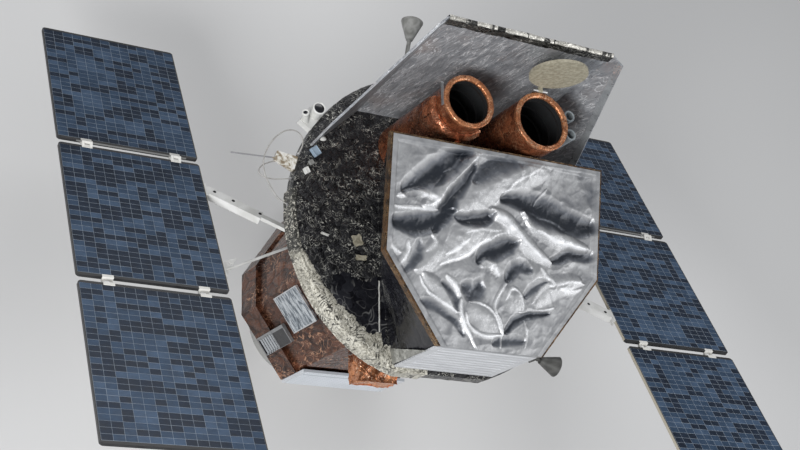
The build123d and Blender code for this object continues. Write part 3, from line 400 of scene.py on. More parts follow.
for side, side_name in ((-1, "left"), (1, "right")):
    dress(f"side_radiator_{side_name}", silver_tape)
    outward = Vector((side * slant.x, -slant.y, 0.0))
    level = Vector((-outward.y, outward.x, 0.0))
    low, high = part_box(f"side_radiator_{side_name}")
    face_centre = (Vector(low) + Vector(high)) / 2 + outward * plate_half
    frame_bm = bmesh.new()
    bmesh.ops.create_grid(frame_bm, x_segments=1, y_segments=1, size=0.5)
    bmesh.ops.scale(frame_bm, vec=(frame_across, frame_high, 1.0), verts=frame_bm.verts)
    inner = bmesh.ops.inset_region(frame_bm, faces=frame_bm.faces[:], thickness=frame_bar, use_boundary=True)
    bmesh.ops.delete(frame_bm, geom=[face for face in frame_bm.faces if face not in inner["faces"]], context="FACES")
    raised = bmesh.ops.extrude_face_region(frame_bm, geom=frame_bm.faces[:])
    raised_verts = [part for part in raised["geom"] if isinstance(part, bmesh.types.BMVert)]
    bmesh.ops.translate(frame_bm, vec=(0.0, 0.0, frame_thick), verts=raised_verts)
    stand = Matrix((level, Vector((0.0, 0.0, 1.0)), outward)).transposed().to_4x4()
    bmesh.ops.transform(frame_bm, matrix=Matrix.Translation(face_centre) @ stand, verts=frame_bm.verts)
    add_piece(
        f"side_radiator_frame_{side_name}", frame_bm, [frame_alloy], smooth=False, outward=True
    )


# Thermal louvres: spring-driven aluminium blades in a folded frame with a plain lid above them,
# bolted on to the slanted faces below the silver radiators.
def coordinate(tree, axis):
    """One object coordinate in metres."""
    return wired(tree, "ShaderNodeSeparateXYZ", {"Vector": on_object(tree)}).outputs[axis]


def below(value, limit):
    """1 under a limit and 0 over it."""
    return maths("LESS_THAN", value, limit)


def between(value, low, high):
    """1 inside a range and 0 outside it."""
    return times(maths("GREATER_THAN", value, low), below(value, high))


louvre_alloy, tree, shader = new_finish("louvre_alloy", 0.34, 0.4)
blades_from, blades_per_metre, blade_gap = 0.732, 24.0, 0.42
level_z = coordinate(tree, "Z")
across_slant = plus(
    times(maths("ABSOLUTE", coordinate(tree, "X")), 0.5673), times(coordinate(tree, "Y"), 0.8234)
)
within = below(maths("ABSOLUTE", across_slant), 0.066)
blade_phase = maths("FRACT", times(minus(level_z, blades_from), blades_per_metre))
on_blade = times(maths("GREATER_THAN", blade_phase, blade_gap), within)
in_window = between(level_z, 0.731, 0.983)
on_lid = times(within, between(level_z, 0.995, 1.197))
drift = cloud(on_object(tree), 30.0, 4.0)
marks = cloud(on_object(tree, (1.0, 1.0, 12.0)), 36.0, 4.0)
colour = tones(mean(marks, drift), ((0.3, (0.20, 0.205, 0.21)), (0.7, (0.36, 0.37, 0.38))))
# Painted shade: the window between the blades is near black, and the blades stand out lighter against it.
colour = laid_over(times(in_window, within), colour, (0.022, 0.022, 0.024))
colour = laid_over(times(in_window, on_blade), colour, (0.42, 0.44, 0.46))
colour = laid_over(on_lid, colour, (0.050, 0.050, 0.053))
finish_surface(shader, colour, (drift, 0.28, 0.44), marks, 0.0006)
for side_name in ("left", "right"):
    dress(f"louvre_{side_name}", louvre_alloy)

# Electronics box on the bus's -Y face: a milled aluminium case, wrapped by hand in bright copper
# film that is taped at its edges.
bright_film = foil(
    "bright_copper_film", (0.20, 0.065, 0.028), (0.72, 0.31, 0.145), (1.0, 0.78, 0.60), 11.0, 0.22, 0.7, 0.008, 0.7
)
wrap("foil_box", "foil_box_cover", bright_film, 0.010, (0.125, 0.030, 0.002, 9))


# Instrument deck: a honeycomb disc under black film that is crumpled tight all over, with a
# smoother sheet beside the shield's foot. Short curved lines along the film's creases are painted highlights.
deck_centre, deck_radius = Vector((0.0, 0.14, 0.0)), 1.1853
deck_low, deck_top, deck_flat = 2.326, 2.466, -0.99


def deck_calm(point):
    """The film lies smooth between the shield's foot and the beige edge."""
    beside_shield = -0.86 < point.x < -0.45 and -0.86 < point.y < -0.34 and point.z > deck_low + 0.05
    return 0.15 if beside_shield and hypot(point.x, point.y - deck_centre.y) < 1.08 else 1.0


black_film = foil(
    "black_deck_film", (0.003, 0.003, 0.004), (0.040, 0.040, 0.043), (0.62, 0.61, 0.55), 26.0, 0.24, 0.3, 0.012,
    painted_glints=1.0, worm=0.85,
)
smooth_black_film = foil(
    "smooth_black_deck_film", (0.004, 0.004, 0.006), (0.030, 0.031, 0.038), (0.50, 0.50, 0.48), 9.0, 0.2, 0.3, 0.006,
    painted_glints=0.4, worm=0.8,
)
deck_cover = cut_fine("instrument_deck", 0.024)
for face in deck_cover.faces:
    middle = face.calc_center_median()
    face.material_index = int(deck_calm(middle + noise.noise_vector(middle * 6.0) * 0.09) < 1.0)
crumple(deck_cover, 0.062, 0.007, 0.001, 5, deck_calm)
deck_films = [black_film, smooth_black_film]
add_piece("deck_film_cover", deck_cover, deck_films, replaced=["instrument_deck"], smooth=False)


# Beige film wrapped over the deck's edge on the side of the left wing, wide and creased beside the
# mask and narrowing towards the star trackers; taped down by hand over the black film.
def ruffle(x, y=0.0, z=0.0):
    """Smooth noise at a place, from about -1 to 1."""
    return noise.noise(Vector((x, y, z)))


beige_film, tree, shader = new_finish("beige_edge_film", 0.38, 0.12)
laid = on_object(tree, (1.0, 1.0, 0.7))
broad = cloud(laid, 7.0, 3.0, 1.0)
wrinkle = cloud(laid, 30.0, 5.0, 2.4)
crack = apart(cloud(laid, 9.0, 2.5, 2.6), 0.5)
# Painted light and shade: the tone follows the wrinkles' relief, near black in their hollows and pale on their crests.
shade = tones(plus(times(wrinkle, 0.75), times(broad, 0.25)), (
    (0.31, (0.05, 0.045, 0.034)), (0.40, (0.28, 0.265, 0.215)),
    (0.50, (0.50, 0.48, 0.41)), (0.64, (0.72, 0.70, 0.62)),
))
dark_line = times(spread(crack, 0.010, 0.040, 1.0, 0.0), spread(broad, 0.38, 0.55, 0.25, 0.95))
# Darker towards +Y: the film turns near black there, broken by the wrinkles.
towards_plus_y = spread(plus(coordinate(tree, "Y"), times(broad, 0.25)), -0.13, -0.04, 0.0, 0.96)
near_black_towards_plus_y = times(towards_plus_y, spread(wrinkle, 0.52, 0.60, 1.0, 0.1))
film_shade = laid_over(near_black_towards_plus_y, laid_over(dark_line, shade, (0.010, 0.009, 0.008)), (0.016, 0.016, 0.015))
finish_surface(shader, film_shade, (wrinkle, 0.28, 0.5), minus(wrinkle, times(dark_line, 0.5)), 0.008)
edge_from, edge_to, edge_steps = radians(-186.0), radians(-97.0), 220
edge_out, edge_long = 1.1885, 1.8
edge_bm = bmesh.new()
edge_profile = [
    (1.0, deck_low + 0.001), (1.0, 2.352), (1.0, 2.38), (1.0, 2.41), (1.0, 2.436), (0.995, 2.456), (0.985, 2.4685)
]
edge_profile += [(0.97 - 0.02 * step, 2.4705) for step in range(6)]
edge_chain = [edge_bm.verts.new((edge_out * reach_share, 0.0, z)) for reach_share, z in edge_profile]
edge_lines = [edge_bm.edges.new(pair) for pair in zip(edge_chain, edge_chain[1:])]
bmesh.ops.rotate(edge_bm, cent=(0, 0, 0), matrix=Matrix.Rotation(edge_from, 3, "Z"), verts=edge_chain)
edge_start = [*edge_chain, *edge_lines]
edge_sweep = edge_to - edge_from
bmesh.ops.spin(edge_bm, geom=edge_start, cent=(0, 0, 0), axis=(0, 0, 1), angle=edge_sweep, steps=edge_steps)
for vertex in edge_bm.verts:
    turn_angle = atan2(vertex.co.y, vertex.co.x)
    degrees_round = degrees(turn_angle) % 360.0 - 360.0
    widest = max(0.0, 1.0 - abs(degrees_round + 118.0) / 46.0)
    ragged = ruffle(turn_angle * 14.0, 3.0) * 0.35 + ruffle(turn_angle * 60.0, 9.0) * 0.2
    width = (0.030 + 0.120 * widest ** 0.6) * (1.0 + ragged)
    radius = hypot(vertex.co.x, vertex.co.y)
    inward = (edge_out - radius) / (edge_out * 0.13)
    fold = ruffle(turn_angle * 5.0, radius * 40.0, vertex.co.z * 16.0)
    crest = 0.004 * (1.0 - abs(fold) * 3.0) + 0.003 * noise.noise(vertex.co * 45.0)
    if vertex.co.z > 2.46:
        radius = edge_out - max(inward, 0.1) * width
        height = max(0.0015, 0.004 + crest)
        vertex.co.z = 2.467 + (height if inward < 0.95 else 0.0012)
    else:
        radius = edge_out + max(0.0, 0.003 + crest)
    vertex.co.x = cos(turn_angle) * radius + deck_centre.x
    vertex.co.y = max(sin(turn_angle) * radius + deck_centre.y, deck_flat - 0.005 - max(0.0, crest))
edge_area = sum(face.calc_area() for face in edge_bm.faces)
edge_film = add_piece("deck_edge_film", edge_bm, [beige_film], outward=True)


# Patches of tape on the deck: one white and two beige, cut by hand and pressed on the crumpled film,
# each a strip of painted cloth tape.
def paint(name, colour, stain, roughness, scale=9.0, speckle=90.0):
    """Sprayed paint over metal: faint stains and an orange-peel surface."""
    material, tree, shader = new_finish(name, roughness)
    drift = cloud(on_object(tree), scale, 5.0, 0.6)
    peel = cloud(on_object(tree), speckle, 2.0)
    shade = tones(drift, ((0.35, stain), (0.6, colour)))
    finish_surface(shader, shade, (drift, roughness * 1.2, roughness * 0.85), peel, 0.0005)
    return material


patch_white = paint("white_patch", (0.62, 0.62, 0.59), (0.40, 0.39, 0.36), 0.5, 30.0, 160.0)
patch_beige = paint("beige_patch", (0.40, 0.37, 0.29), (0.20, 0.18, 0.13), 0.45, 34.0, 120.0)
for patch_name, patch_place, patch_turn, patch_size, patch_material in (
    ("white", (-0.936, -0.052), -10.0, (0.062, 0.020), patch_white),
    ("beige", (-0.678, -0.062), 25.0, (0.075, 0.085), patch_beige),
    ("small", (-0.650, -0.190), 5.0, (0.085, 0.040), patch_beige),
):
    patch_bm = bmesh.new()
    bmesh.ops.create_grid(patch_bm, x_segments=10, y_segments=8, size=0.5)
    for vertex in patch_bm.verts:
        ragged = 1.0 + 0.28 * noise.noise(vertex.co * 3.0 + Vector((len(patch_name), 0.0, 0.0)))
        vertex.co.x *= patch_size[0] * ragged
        vertex.co.y *= patch_size[1] * ragged
        vertex.co.z = 0.0022 * noise.noise(vertex.co * 60.0)
    spot = Matrix.Translation((*patch_place, deck_top + 0.003)) @ Matrix.Rotation(radians(patch_turn), 4, "Z")
    bmesh.ops.transform(patch_bm, matrix=spot, verts=patch_bm.verts)
    patch = add_piece(f"tape_patch_{patch_name}", patch_bm, [patch_material])


# Coded mask's blanket: one sheet of thick silver-grey film over the mask's tiles, lapped over the rim
# and taped at its edge. It is far too large, so it lies in broad tubular folds with fine crinkles.
# Painted light and shade: the blanket's tone is lighter on crests, on slopes facing one fixed side and on the traced
# lit folds, and darker in hollows and on the traced shaded folds.
mask_plane = Matrix.Translation((0.0, 0.0, 3.277)) @ Matrix.Rotation(radians(10.0), 4, "X")
blanket_level = -0.014
blanket_folds = (
    # half width, height, painted light from -1 for a shaded hollow to 1 for a lit crest, points on the plane
    (0.098, -0.032, -0.85, ((-0.258, 0.395), (-0.437, 0.257), (-0.580, 0.142), (-0.734, 0.045))),
    (0.058, -0.030, -0.90, ((-0.204, 0.295), (-0.347, 0.104), (-0.417, -0.073), (-0.485, -0.211))),
    (0.093, -0.018, -0.62, ((-0.199, 0.192), (-0.057, 0.303), (0.115, 0.394), (0.270, 0.438))),
    (0.076, -0.032, -0.95, ((-0.821, -0.171), (-0.661, -0.195), (-0.490, -0.142), (-0.360, -0.043))),
    (0.053, -0.026, -0.85, ((-0.336, -0.076), (-0.165, -0.102), (-0.018, -0.020))),
    (0.089, -0.030, -0.90, ((0.038, 0.083), (0.218, 0.109), (0.424, 0.057), (0.657, -0.012), (0.880, -0.009))),
    (0.067, -0.022, -0.60, ((0.223, 0.019), (0.406, -0.036), (0.590, -0.049))),
    (0.076, -0.030, -0.85, ((-0.123, -0.375), (-0.005, -0.261), (0.156, -0.199))),
    (0.067, -0.022, -0.60, ((-0.235, -0.544), (-0.153, -0.608), (-0.108, -0.529))),
    (0.049, -0.020, -0.60, ((0.116, -0.475), (0.175, -0.337), (0.288, -0.379))),
    (0.038, -0.018, -0.80, ((0.117, -0.825), (0.216, -0.710), (0.448, -0.674))),
    (0.033, -0.014, -0.55, ((-0.579, -0.678), (-0.444, -0.716), (-0.294, -0.795))),
    (0.044, -0.018, -0.65, ((0.452, -0.296), (0.643, -0.211), (0.866, -0.231))),
    (0.080, -0.010, -0.30, ((0.687, 0.379), (0.798, 0.278), (0.875, 0.132))),
    (0.044, -0.014, -0.50, ((-0.403, -0.537), (-0.304, -0.625), (-0.288, -0.714))),
    (0.036, -0.014, -0.45, ((0.252, -0.561), (0.315, -0.479), (0.425, -0.447))),
    (0.049, -0.014, -0.40, ((-0.702, -0.501), (-0.627, -0.411), (-0.594, -0.280))),
    (0.031, -0.012, -0.50, ((-0.225, -0.887), (-0.293, -0.804), (-0.380, -0.742))),
    (0.036, -0.012, -0.45, ((0.010, -0.918), (0.094, -0.874), (0.269, -0.884))),
    (0.067, 0.034, 0.22, ((-0.184, 0.396), (-0.332, 0.209), (-0.468, 0.008), (-0.579, -0.041))),
    (0.129, 0.026, 0.10, ((0.428, 0.458), (0.164, 0.300), (-0.114, 0.149), (-0.338, -0.047))),
    (0.058, 0.030, 0.45, ((-0.041, 0.003), (0.118, -0.100), (0.304, -0.255), (0.442, -0.317))),
    (0.062, 0.032, 0.28, ((0.196, 0.015), (0.363, -0.085), (0.548, -0.137), (0.746, -0.174))),
    (0.098, 0.018, 0.16, ((-0.602, -0.489), (-0.447, -0.333), (-0.244, -0.215), (0.097, -0.116))),
    (0.067, 0.014, 0.12, ((0.148, -0.256), (0.243, -0.375), (0.425, -0.428))),
    (0.058, 0.016, 0.10, ((-0.559, -0.510), (-0.431, -0.585), (-0.298, -0.715))),
    (0.067, 0.014, 0.10, ((0.076, -0.544), (0.169, -0.645), (0.209, -0.566))),
    (0.076, 0.014, 0.12, ((0.343, -0.598), (0.450, -0.482), (0.698, -0.415))),
    (0.062, 0.016, 0.12, ((-0.195, -0.685), (-0.085, -0.746), (0.025, -0.807))),
    (0.033, 0.012, 0.95, ((-0.786, -0.003), (-0.657, 0.053), (-0.541, 0.023), (-0.446, -0.007))),
    (0.020, 0.010, 0.85, ((-0.807, -0.075), (-0.628, -0.081), (-0.453, -0.056))),
    (0.013, 0.006, 0.45, ((0.374, 0.387), (0.222, 0.271), (0.082, 0.173), (-0.010, 0.042))),
    (0.020, 0.008, 0.70, ((-0.006, -0.042), (0.095, -0.079), (0.234, -0.188), (0.350, -0.283))),
    (0.016, 0.008, 0.75, ((0.318, -0.086), (0.456, -0.143), (0.595, -0.169), (0.730, -0.180))),
    (0.020, 0.008, 0.95, ((-0.428, -0.431), (-0.319, -0.372), (-0.171, -0.297), (-0.051, -0.208))),
    (0.018, 0.008, 0.85, ((-0.399, -0.364), (-0.303, -0.282), (-0.217, -0.226))),
    (0.013, 0.006, 0.60, ((-0.245, -0.182), (-0.119, -0.146), (0.032, -0.131))),
    (0.040, 0.010, 0.80, ((-0.115, -0.410), (-0.043, -0.359), (0.048, -0.436))),
    (0.029, 0.010, 0.85, ((-0.379, -0.489), (-0.317, -0.539), (-0.279, -0.622))),
    (0.016, 0.008, 0.85, ((-0.588, -0.536), (-0.548, -0.620), (-0.404, -0.687), (-0.276, -0.734))),
    (0.022, 0.012, 0.95, ((-0.265, -0.639), (-0.259, -0.746), (-0.196, -0.848), (-0.120, -0.964))),
    (0.016, 0.010, 0.80, ((-0.197, -0.653), (-0.047, -0.669), (0.049, -0.772), (0.097, -0.848))),
    (0.020, 0.010, 0.85, ((0.097, -0.848), (-0.057, -0.879), (-0.183, -0.814), (-0.224, -0.725))),
    (0.016, 0.010, 0.65, ((0.106, -0.500), (0.018, -0.588), (-0.003, -0.686), (0.103, -0.803), (0.075, -0.930))),
    (0.016, 0.009, 0.60, ((0.093, -0.616), (0.136, -0.523), (0.218, -0.532), (0.248, -0.655))),
    (0.018, 0.009, 0.60, ((0.312, -0.607), (0.365, -0.496), (0.538, -0.430), (0.745, -0.432))),
    (0.018, 0.008, 0.85, ((0.372, -0.369), (0.424, -0.413), (0.488, -0.440))),
    (0.027, 0.008, 0.55, ((0.540, -0.475), (0.633, -0.502), (0.724, -0.473))),
    (0.029, 0.010, 0.60, ((-0.833, -0.294), (-0.808, -0.363), (-0.740, -0.390))),
    (0.031, 0.010, 0.60, ((-0.696, -0.294), (-0.675, -0.363), (-0.735, -0.461))),
    (0.024, 0.010, 0.55, ((-0.504, -0.241), (-0.470, -0.291), (-0.549, -0.347))),
    (0.018, 0.008, 0.55, ((-0.597, -0.872), (-0.523, -0.757), (-0.579, -0.683))),
    (0.013, 0.006, 0.50, ((0.214, -0.681), (0.346, -0.663), (0.497, -0.627))),
    (0.013, 0.006, 0.45, ((0.262, -0.750), (0.280, -0.837), (0.271, -0.930))),
    (0.011, 0.004, 0.50, ((0.309, 0.088), (0.355, 0.182), (0.394, 0.216))),
    (0.013, 0.006, 0.50, ((-0.439, 0.220), (-0.357, 0.270), (-0.298, 0.355))),
)
crinkled_places = (
    # centre on the plane, half size, depth of the fine crinkles
    (-0.056, 0.290, 0.130, 0.0050), (0.357, 0.038, 0.160, 0.0032), (-0.601, 0.139, 0.110, 0.0028),
    (0.234, -0.188, 0.130, 0.0045), (-0.042, -0.373, 0.090, 0.0045), (-0.695, 0.014, 0.100, 0.0034),
    (-0.773, -0.340, 0.080, 0.0034), (0.562, -0.450, 0.140, 0.0034), (-0.310, -0.517, 0.090, 0.0034),
    (-0.087, -0.710, 0.100, 0.0020), (0.262, -0.746, 0.100, 0.0030), (-0.138, -0.569, 0.120, 0.0034),
)


def softened(chain):
    """The line with its corners cut twice, as film bends: each part's ends, run, start and share."""
    for turn in range(2):
        cut = [chain[0]]
        for (u0, v0), (u1, v1) in zip(chain, chain[1:]):
            cut += [(u0 * (1.0 - part) + u1 * part, v0 * (1.0 - part) + v1 * part) for part in (0.25, 0.75)]
        chain = [*cut, chain[-1]]
    runs = [hypot(u1 - u0, v1 - v0) for (u0, v0), (u1, v1) in zip(chain, chain[1:])]
    whole = sum(runs)
    return [
        (*start, *end, run, sum(runs[:index]) / whole, run / whole)
        for index, (start, end, run) in enumerate(zip(chain, chain[1:], runs))
    ]


def nearness(u, v, half_width, runs, flat):
    """1 on a fold's line, falling to 0 at its width, which narrows to both ends; a hollow is flat."""
    best = 1.0
    for u0, v0, u1, v1, run, so_far, part in runs:
        share = min(1.0, max(0.0, ((u - u0) * (u1 - u0) + (v - v0) * (v1 - v0)) / (run * run)))
        away = hypot(u - u0 - share * (u1 - u0), v - v0 - share * (v1 - v0))
        if away < half_width:
            along_fold = so_far + part * share
            best = min(best, away / (half_width * (0.30 + 0.70 * max(0.0, sin(pi * along_fold)) ** 0.55)))
    if best >= 1.0:
        return 0.0
    return (1.0 - best * best) ** 1.3 if flat else 0.45 * (1.0 - best * best) ** 2 + 0.55 * (1.0 - best) ** 1.4


def ridges(u, v, scale, seed):
    """Sharp crests between soft hollows, from 0 to 1."""
    bend = noise.noise_vector(Vector((u * scale * 0.6, v * scale * 0.6, seed))) * 0.7
    return 1.0 - 2.0 * abs(noise.noise(Vector((u * scale, v * scale, seed)) + bend))


traced_folds = []
for half, height, light, chain in blanket_folds:
    across, along, reach = [u for u, v in chain], [v for u, v in chain], half + 0.02
    limits = (min(across) - reach, max(across) + reach, min(along) - reach, max(along) + reach)
    traced_folds.append((limits, half * 1.25, height, light, softened(chain)))
blanket_columns, blanket_rows = 296, 242
blanket_half, blanket_low, blanket_high = 0.852, -0.977, 0.408
rim_half, rim_top, lap = 0.8297, 0.3857, 0.0038
cut_across, cut_along = 0.797, 0.6037
hem_foot = -0.0515
column_step = 2 * blanket_half / blanket_columns
row_step = (blanket_high - blanket_low) / blanket_rows
blanket_bm = bmesh.new()
bmesh.ops.create_grid(blanket_bm, x_segments=blanket_columns, y_segments=blanket_rows, size=0.5)
bmesh.ops.scale(blanket_bm, vec=(2 * blanket_half, blanket_high - blanket_low, 1.0), verts=blanket_bm.verts)
bmesh.ops.translate(blanket_bm, vec=(0.0, (blanket_high + blanket_low) / 2, 0.0), verts=blanket_bm.verts)
light_layer = blanket_bm.verts.layers.float.new("painted_fold_light")
heights = []
lights = []
for vertex in blanket_bm.verts:
    u, v = vertex.co.x, vertex.co.y
    bend = noise.noise_vector(Vector((u * 5.0, v * 5.0, 1.0))) * 0.024
    bend += noise.noise_vector(Vector((u * 15.0, v * 15.0, 4.0))) * 0.007
    bent_u, bent_v = u + bend.x, v + bend.y
    crest, hollow, light, shade = 0.0, 0.0, 0.0, 0.0
    for (low_u, high_u, low_v, high_v), half, rise, lit, runs in traced_folds:
        if low_u < bent_u < high_u and low_v < bent_v < high_v:
            share = nearness(bent_u, bent_v, half, runs, rise < 0.0 or half > 0.07)
            crest = max(crest, rise * share) + 0.25 * min(crest, max(0.0, rise * share))
            hollow = min(hollow, rise * share)
            light += max(0.0, lit) * share
            shade = min(shade, lit * share)
    height = crest + hollow
    height += 0.0075 * ridges(u, v, 3.6, 2.0) + 0.0040 * ridges(u, v, 8.5, 5.0) + 0.0011 * ridges(u, v, 24.0, 7.0)
    for centre_u, centre_v, half, depth in crinkled_places:
        away = hypot(u - centre_u, v - centre_v) / half
        if away < 1.0:
            fine = ridges(u, v, 30.0, 0.3) + 0.6 * ridges(u, v, 62.0, 0.8)
            height += 0.45 * depth * (1.0 - away * away) * fine
    heights.append(height)
    lights.append(light + shade)
across_verts = blanket_columns + 1
for index, vertex in enumerate(list(blanket_bm.verts)):
    column, row = index % across_verts, index // across_verts
    left, right = index - (column > 0), index + (column < blanket_columns)
    below_it, above_it = index - across_verts * (row > 0), index + across_verts * (row < blanket_rows)
    slope_u = (heights[right] - heights[left]) / ((right - left) * column_step)
    slope_v = (heights[above_it] - heights[below_it]) / ((above_it - below_it) / across_verts * row_step)
    # Painted light and shade: slopes that face one fixed side are lighter and the others darker; height and the traced
    # folds' painted light are added.
    painted_side_light = -(0.42 * slope_u - 0.90 * slope_v)
    corner_gap = (0.8369 - abs(vertex.co.x)) * cut_across + (vertex.co.y + 0.366) * cut_along
    edge_gap = min(rim_half - abs(vertex.co.x), rim_top - vertex.co.y, corner_gap)
    held = min(1.0, max(0.0, edge_gap / 0.035))
    light = 0.42 * painted_side_light / (0.35 + abs(painted_side_light)) + 4.0 * heights[index] + 0.95 * lights[index]
    vertex[light_layer] = max(-1.0, min(1.0, light * (0.3 + 0.7 * held)))
    lapped = min(1.0, max(0.0, 1.0 - (edge_gap - 0.004) / 0.030))
    eased = lapped * lapped * (3.0 - 2.0 * lapped)
    vertex.co.z = blanket_level + (lap - blanket_level) * eased + max(-0.034, heights[index]) * held
for side in (-1, 1):
    bmesh.ops.bisect_plane(
        blanket_bm, geom=blanket_bm.verts[:] + blanket_bm.edges[:] + blanket_bm.faces[:], dist=0.0005, clear_outer=True,
        plane_co=(side * 0.8548, -0.3795, 0.0), plane_no=(side * cut_across, -cut_along, 0.0),
    )
front_edges = [
    edge for edge in blanket_bm.edges if edge.is_boundary and all(end.co.y < blanket_low + 0.0005 for end in edge.verts)
]
hem = bmesh.ops.extrude_edge_only(blanket_bm, edges=front_edges)
for part in hem["geom"]:
    if isinstance(part, bmesh.types.BMVert):
        part.co.z = hem_foot
bmesh.ops.transform(blanket_bm, matrix=mask_plane, verts=blanket_bm.verts)
silver_film, tree, shader = new_finish("silver_grey_film", 0.34, 0.3, 0.15)
# Painted light and shade: the colour follows the painted fold light, with painted sparkles on the lit folds.
painted_fold_light = wired(tree, "ShaderNodeAttribute", attribute_name="painted_fold_light").outputs["Fac"]
laid = on_object(tree)
haze = cloud(laid, 9.0, 5.0, 0.6)
grain = cloud(laid, 120.0, 3.0)
painted_glint = apart(cloud(laid, 34.0, 2.0, 1.6), 0.5)
painted_sparkle = times(spread(painted_glint, 0.004, 0.03, 1.0, 0.0), spread(painted_fold_light, 0.05, 0.7, 0.0, 0.45))
tone = plus(plus(times(painted_fold_light, 0.45), painted_sparkle), spread(haze, 0.3, 0.7, 0.42, 0.56))
film_colour = tones(tone, (
    (0.10, (0.016, 0.020, 0.028)), (0.30, (0.10, 0.108, 0.125)), (0.48, (0.29, 0.295, 0.305)),
    (0.64, (0.45, 0.455, 0.465)), (0.95, (0.86, 0.87, 0.89)),
))
finish_surface(shader, film_colour, (haze, 0.28, 0.44), plus(times(haze, 1.2), times(grain, 0.12)), 0.008)
blanket_area = sum(face.calc_area() for face in blanket_bm.faces)
blanket = add_piece(
    "mask_film_blanket", blanket_bm, [silver_film], replaced=["mask_panel"], outward=True
)

# Mask rim: a carbon frame bound with brown-gold tape, which is worn black in places and lifts in
# small wrinkles along the edge.
rim_tape = foil(
    "rim_gold_tape", (0.004, 0.003, 0.003), (0.12, 0.060, 0.022), (0.62, 0.42, 0.20), 24.0, 0.34, 0.3, 0.006, 0.7
)
wrap("mask_rim", "mask_rim_tape", rim_tape, 0.014, (0.05, 0.004, 0.0015, 12))

# Shield below the mask: glossy black film stretched over flat panels, in long soft ripples, with a
# pale seam up its left corner and a grey crinkled patch at the foot beside the radiator wall.
gloss_film = foil(
    "gloss_black_film", (0.003, 0.003, 0.004), (0.012, 0.012, 0.016), (0.20, 0.21, 0.24), 5.0, 0.2, 0.1, 0.010, 0.4
)
wrap("mask_shield", "shield_film_cover", gloss_film, 0.03, (0.30, 0.010, 0.0, 14))
grey_film = foil(
    "grey_corner_film", (0.10, 0.10, 0.09), (0.40, 0.40, 0.37), (0.72, 0.72, 0.68), 30.0, 0.4, 0.25, 0.006, 0.6
)
white_ribs, tree, shader = new_finish("white_ribbed_paint", 0.4)
ribs_from, ribs_per_metre = 2.47, 34.2
rib_phase = maths("FRACT", times(minus(coordinate(tree, "Z"), ribs_from), ribs_per_metre))
groove = spread(apart(rib_phase, 0.5), 0.30, 0.46, 0.0, 0.75)
drift = cloud(on_object(tree, (1.0, 1.0, 9.0)), 4.0, 5.0)
shade = tones(drift, ((0.35, (0.50, 0.51, 0.53)), (0.65, (0.62, 0.63, 0.65))))
# Painted shade: the grooves between the ribs are darker.
colour = laid_over(groove, shade, (0.36, 0.37, 0.39))
finish_surface(shader, colour, (drift, 0.5, 0.35), minus(drift, times(groove, 0.6)), 0.002)
dress("shield_radiator", white_ribs)
corner_creases = crease_directions(21)
corner_bm = bmesh.new()
bmesh.ops.create_grid(corner_bm, x_segments=26, y_segments=44, size=0.5)
foot_ends = (Vector((-0.500, -0.360, 2.466)), Vector((-0.415, -0.950, 2.466)))
head_ends = (Vector((-0.854, -0.383, 3.155)), Vector((-0.414, -0.965, 3.052)))
corner_out = (foot_ends[1] - foot_ends[0]).cross(head_ends[1] - foot_ends[0]).normalized()
corner_out = corner_out if corner_out.x < 0.0 else -corner_out
for vertex in corner_bm.verts:
    beside = 0.04 + 0.96 * (vertex.co.x + 0.5)
    upward = (vertex.co.y + 0.5) * 0.84 * beside
    along_foot = 0.80 + 0.195 * beside + 0.006 * ruffle(upward * 12.0, 3.0)
    spot = foot_ends[0].lerp(foot_ends[1], along_foot).lerp(head_ends[0].lerp(head_ends[1], along_foot), upward)
    crinkle = 0.006 * pressed(spot, 0.05, corner_creases) + 0.0015 * noise.noise(spot * 60.0)
    vertex.co = spot + corner_out * (0.003 + crinkle)
    vertex.co.z = max(vertex.co.z, 2.4705)
bmesh.ops.recalc_face_normals(corner_bm, faces=corner_bm.faces)
if sum(face.normal.dot(corner_out) for face in corner_bm.faces) < 0.0:
    bmesh.ops.reverse_faces(corner_bm, faces=corner_bm.faces)
corner_area = sum(face.calc_area() for face in corner_bm.faces)
corner = add_piece("shield_corner_patch", corner_bm, [grey_film])
seam_wide = 0.011
seam_bm = bmesh.new()
bmesh.ops.create_grid(seam_bm, x_segments=36, y_segments=2, size=0.5)
for vertex in seam_bm.verts:
    along_seam = vertex.co.x + 0.5
    weave = 0.004 * ruffle(along_seam * 9.0, 1.0)
    seam_x = -0.512 - 0.006 * along_seam + vertex.co.y * seam_wide + weave
    vertex.co = (seam_x, -0.345 - 0.38 * along_seam, deck_top + 0.0038 + 0.0015 * ruffle(along_seam * 20.0, 5.0))
seam = add_piece("deck_seam_tape", seam_bm, [patch_white], outward=True)


# Telescope tubes: carbon tubes wrapped in copper film, taped over the mouth. Inside each is a black
# liner with thin baffle rings that keep stray light out.
def spin_profile(piece_bm, profile, stand, steps):
    """Spin a line of (radius, height) points once round a stand's z axis."""
    chain = [piece_bm.verts.new(stand @ Vector((radius, 0.0, height))) for radius, height in profile]
    lines = [piece_bm.edges.new(pair) for pair in zip(chain, chain[1:])]
    axis = stand.to_3x3() @ Vector((0.0, 0.0, 1.0))
    bmesh.ops.spin(
        piece_bm, geom=[*chain, *lines], cent=stand.translation, axis=axis, angle=2 * pi, steps=steps, use_merge=True
    )
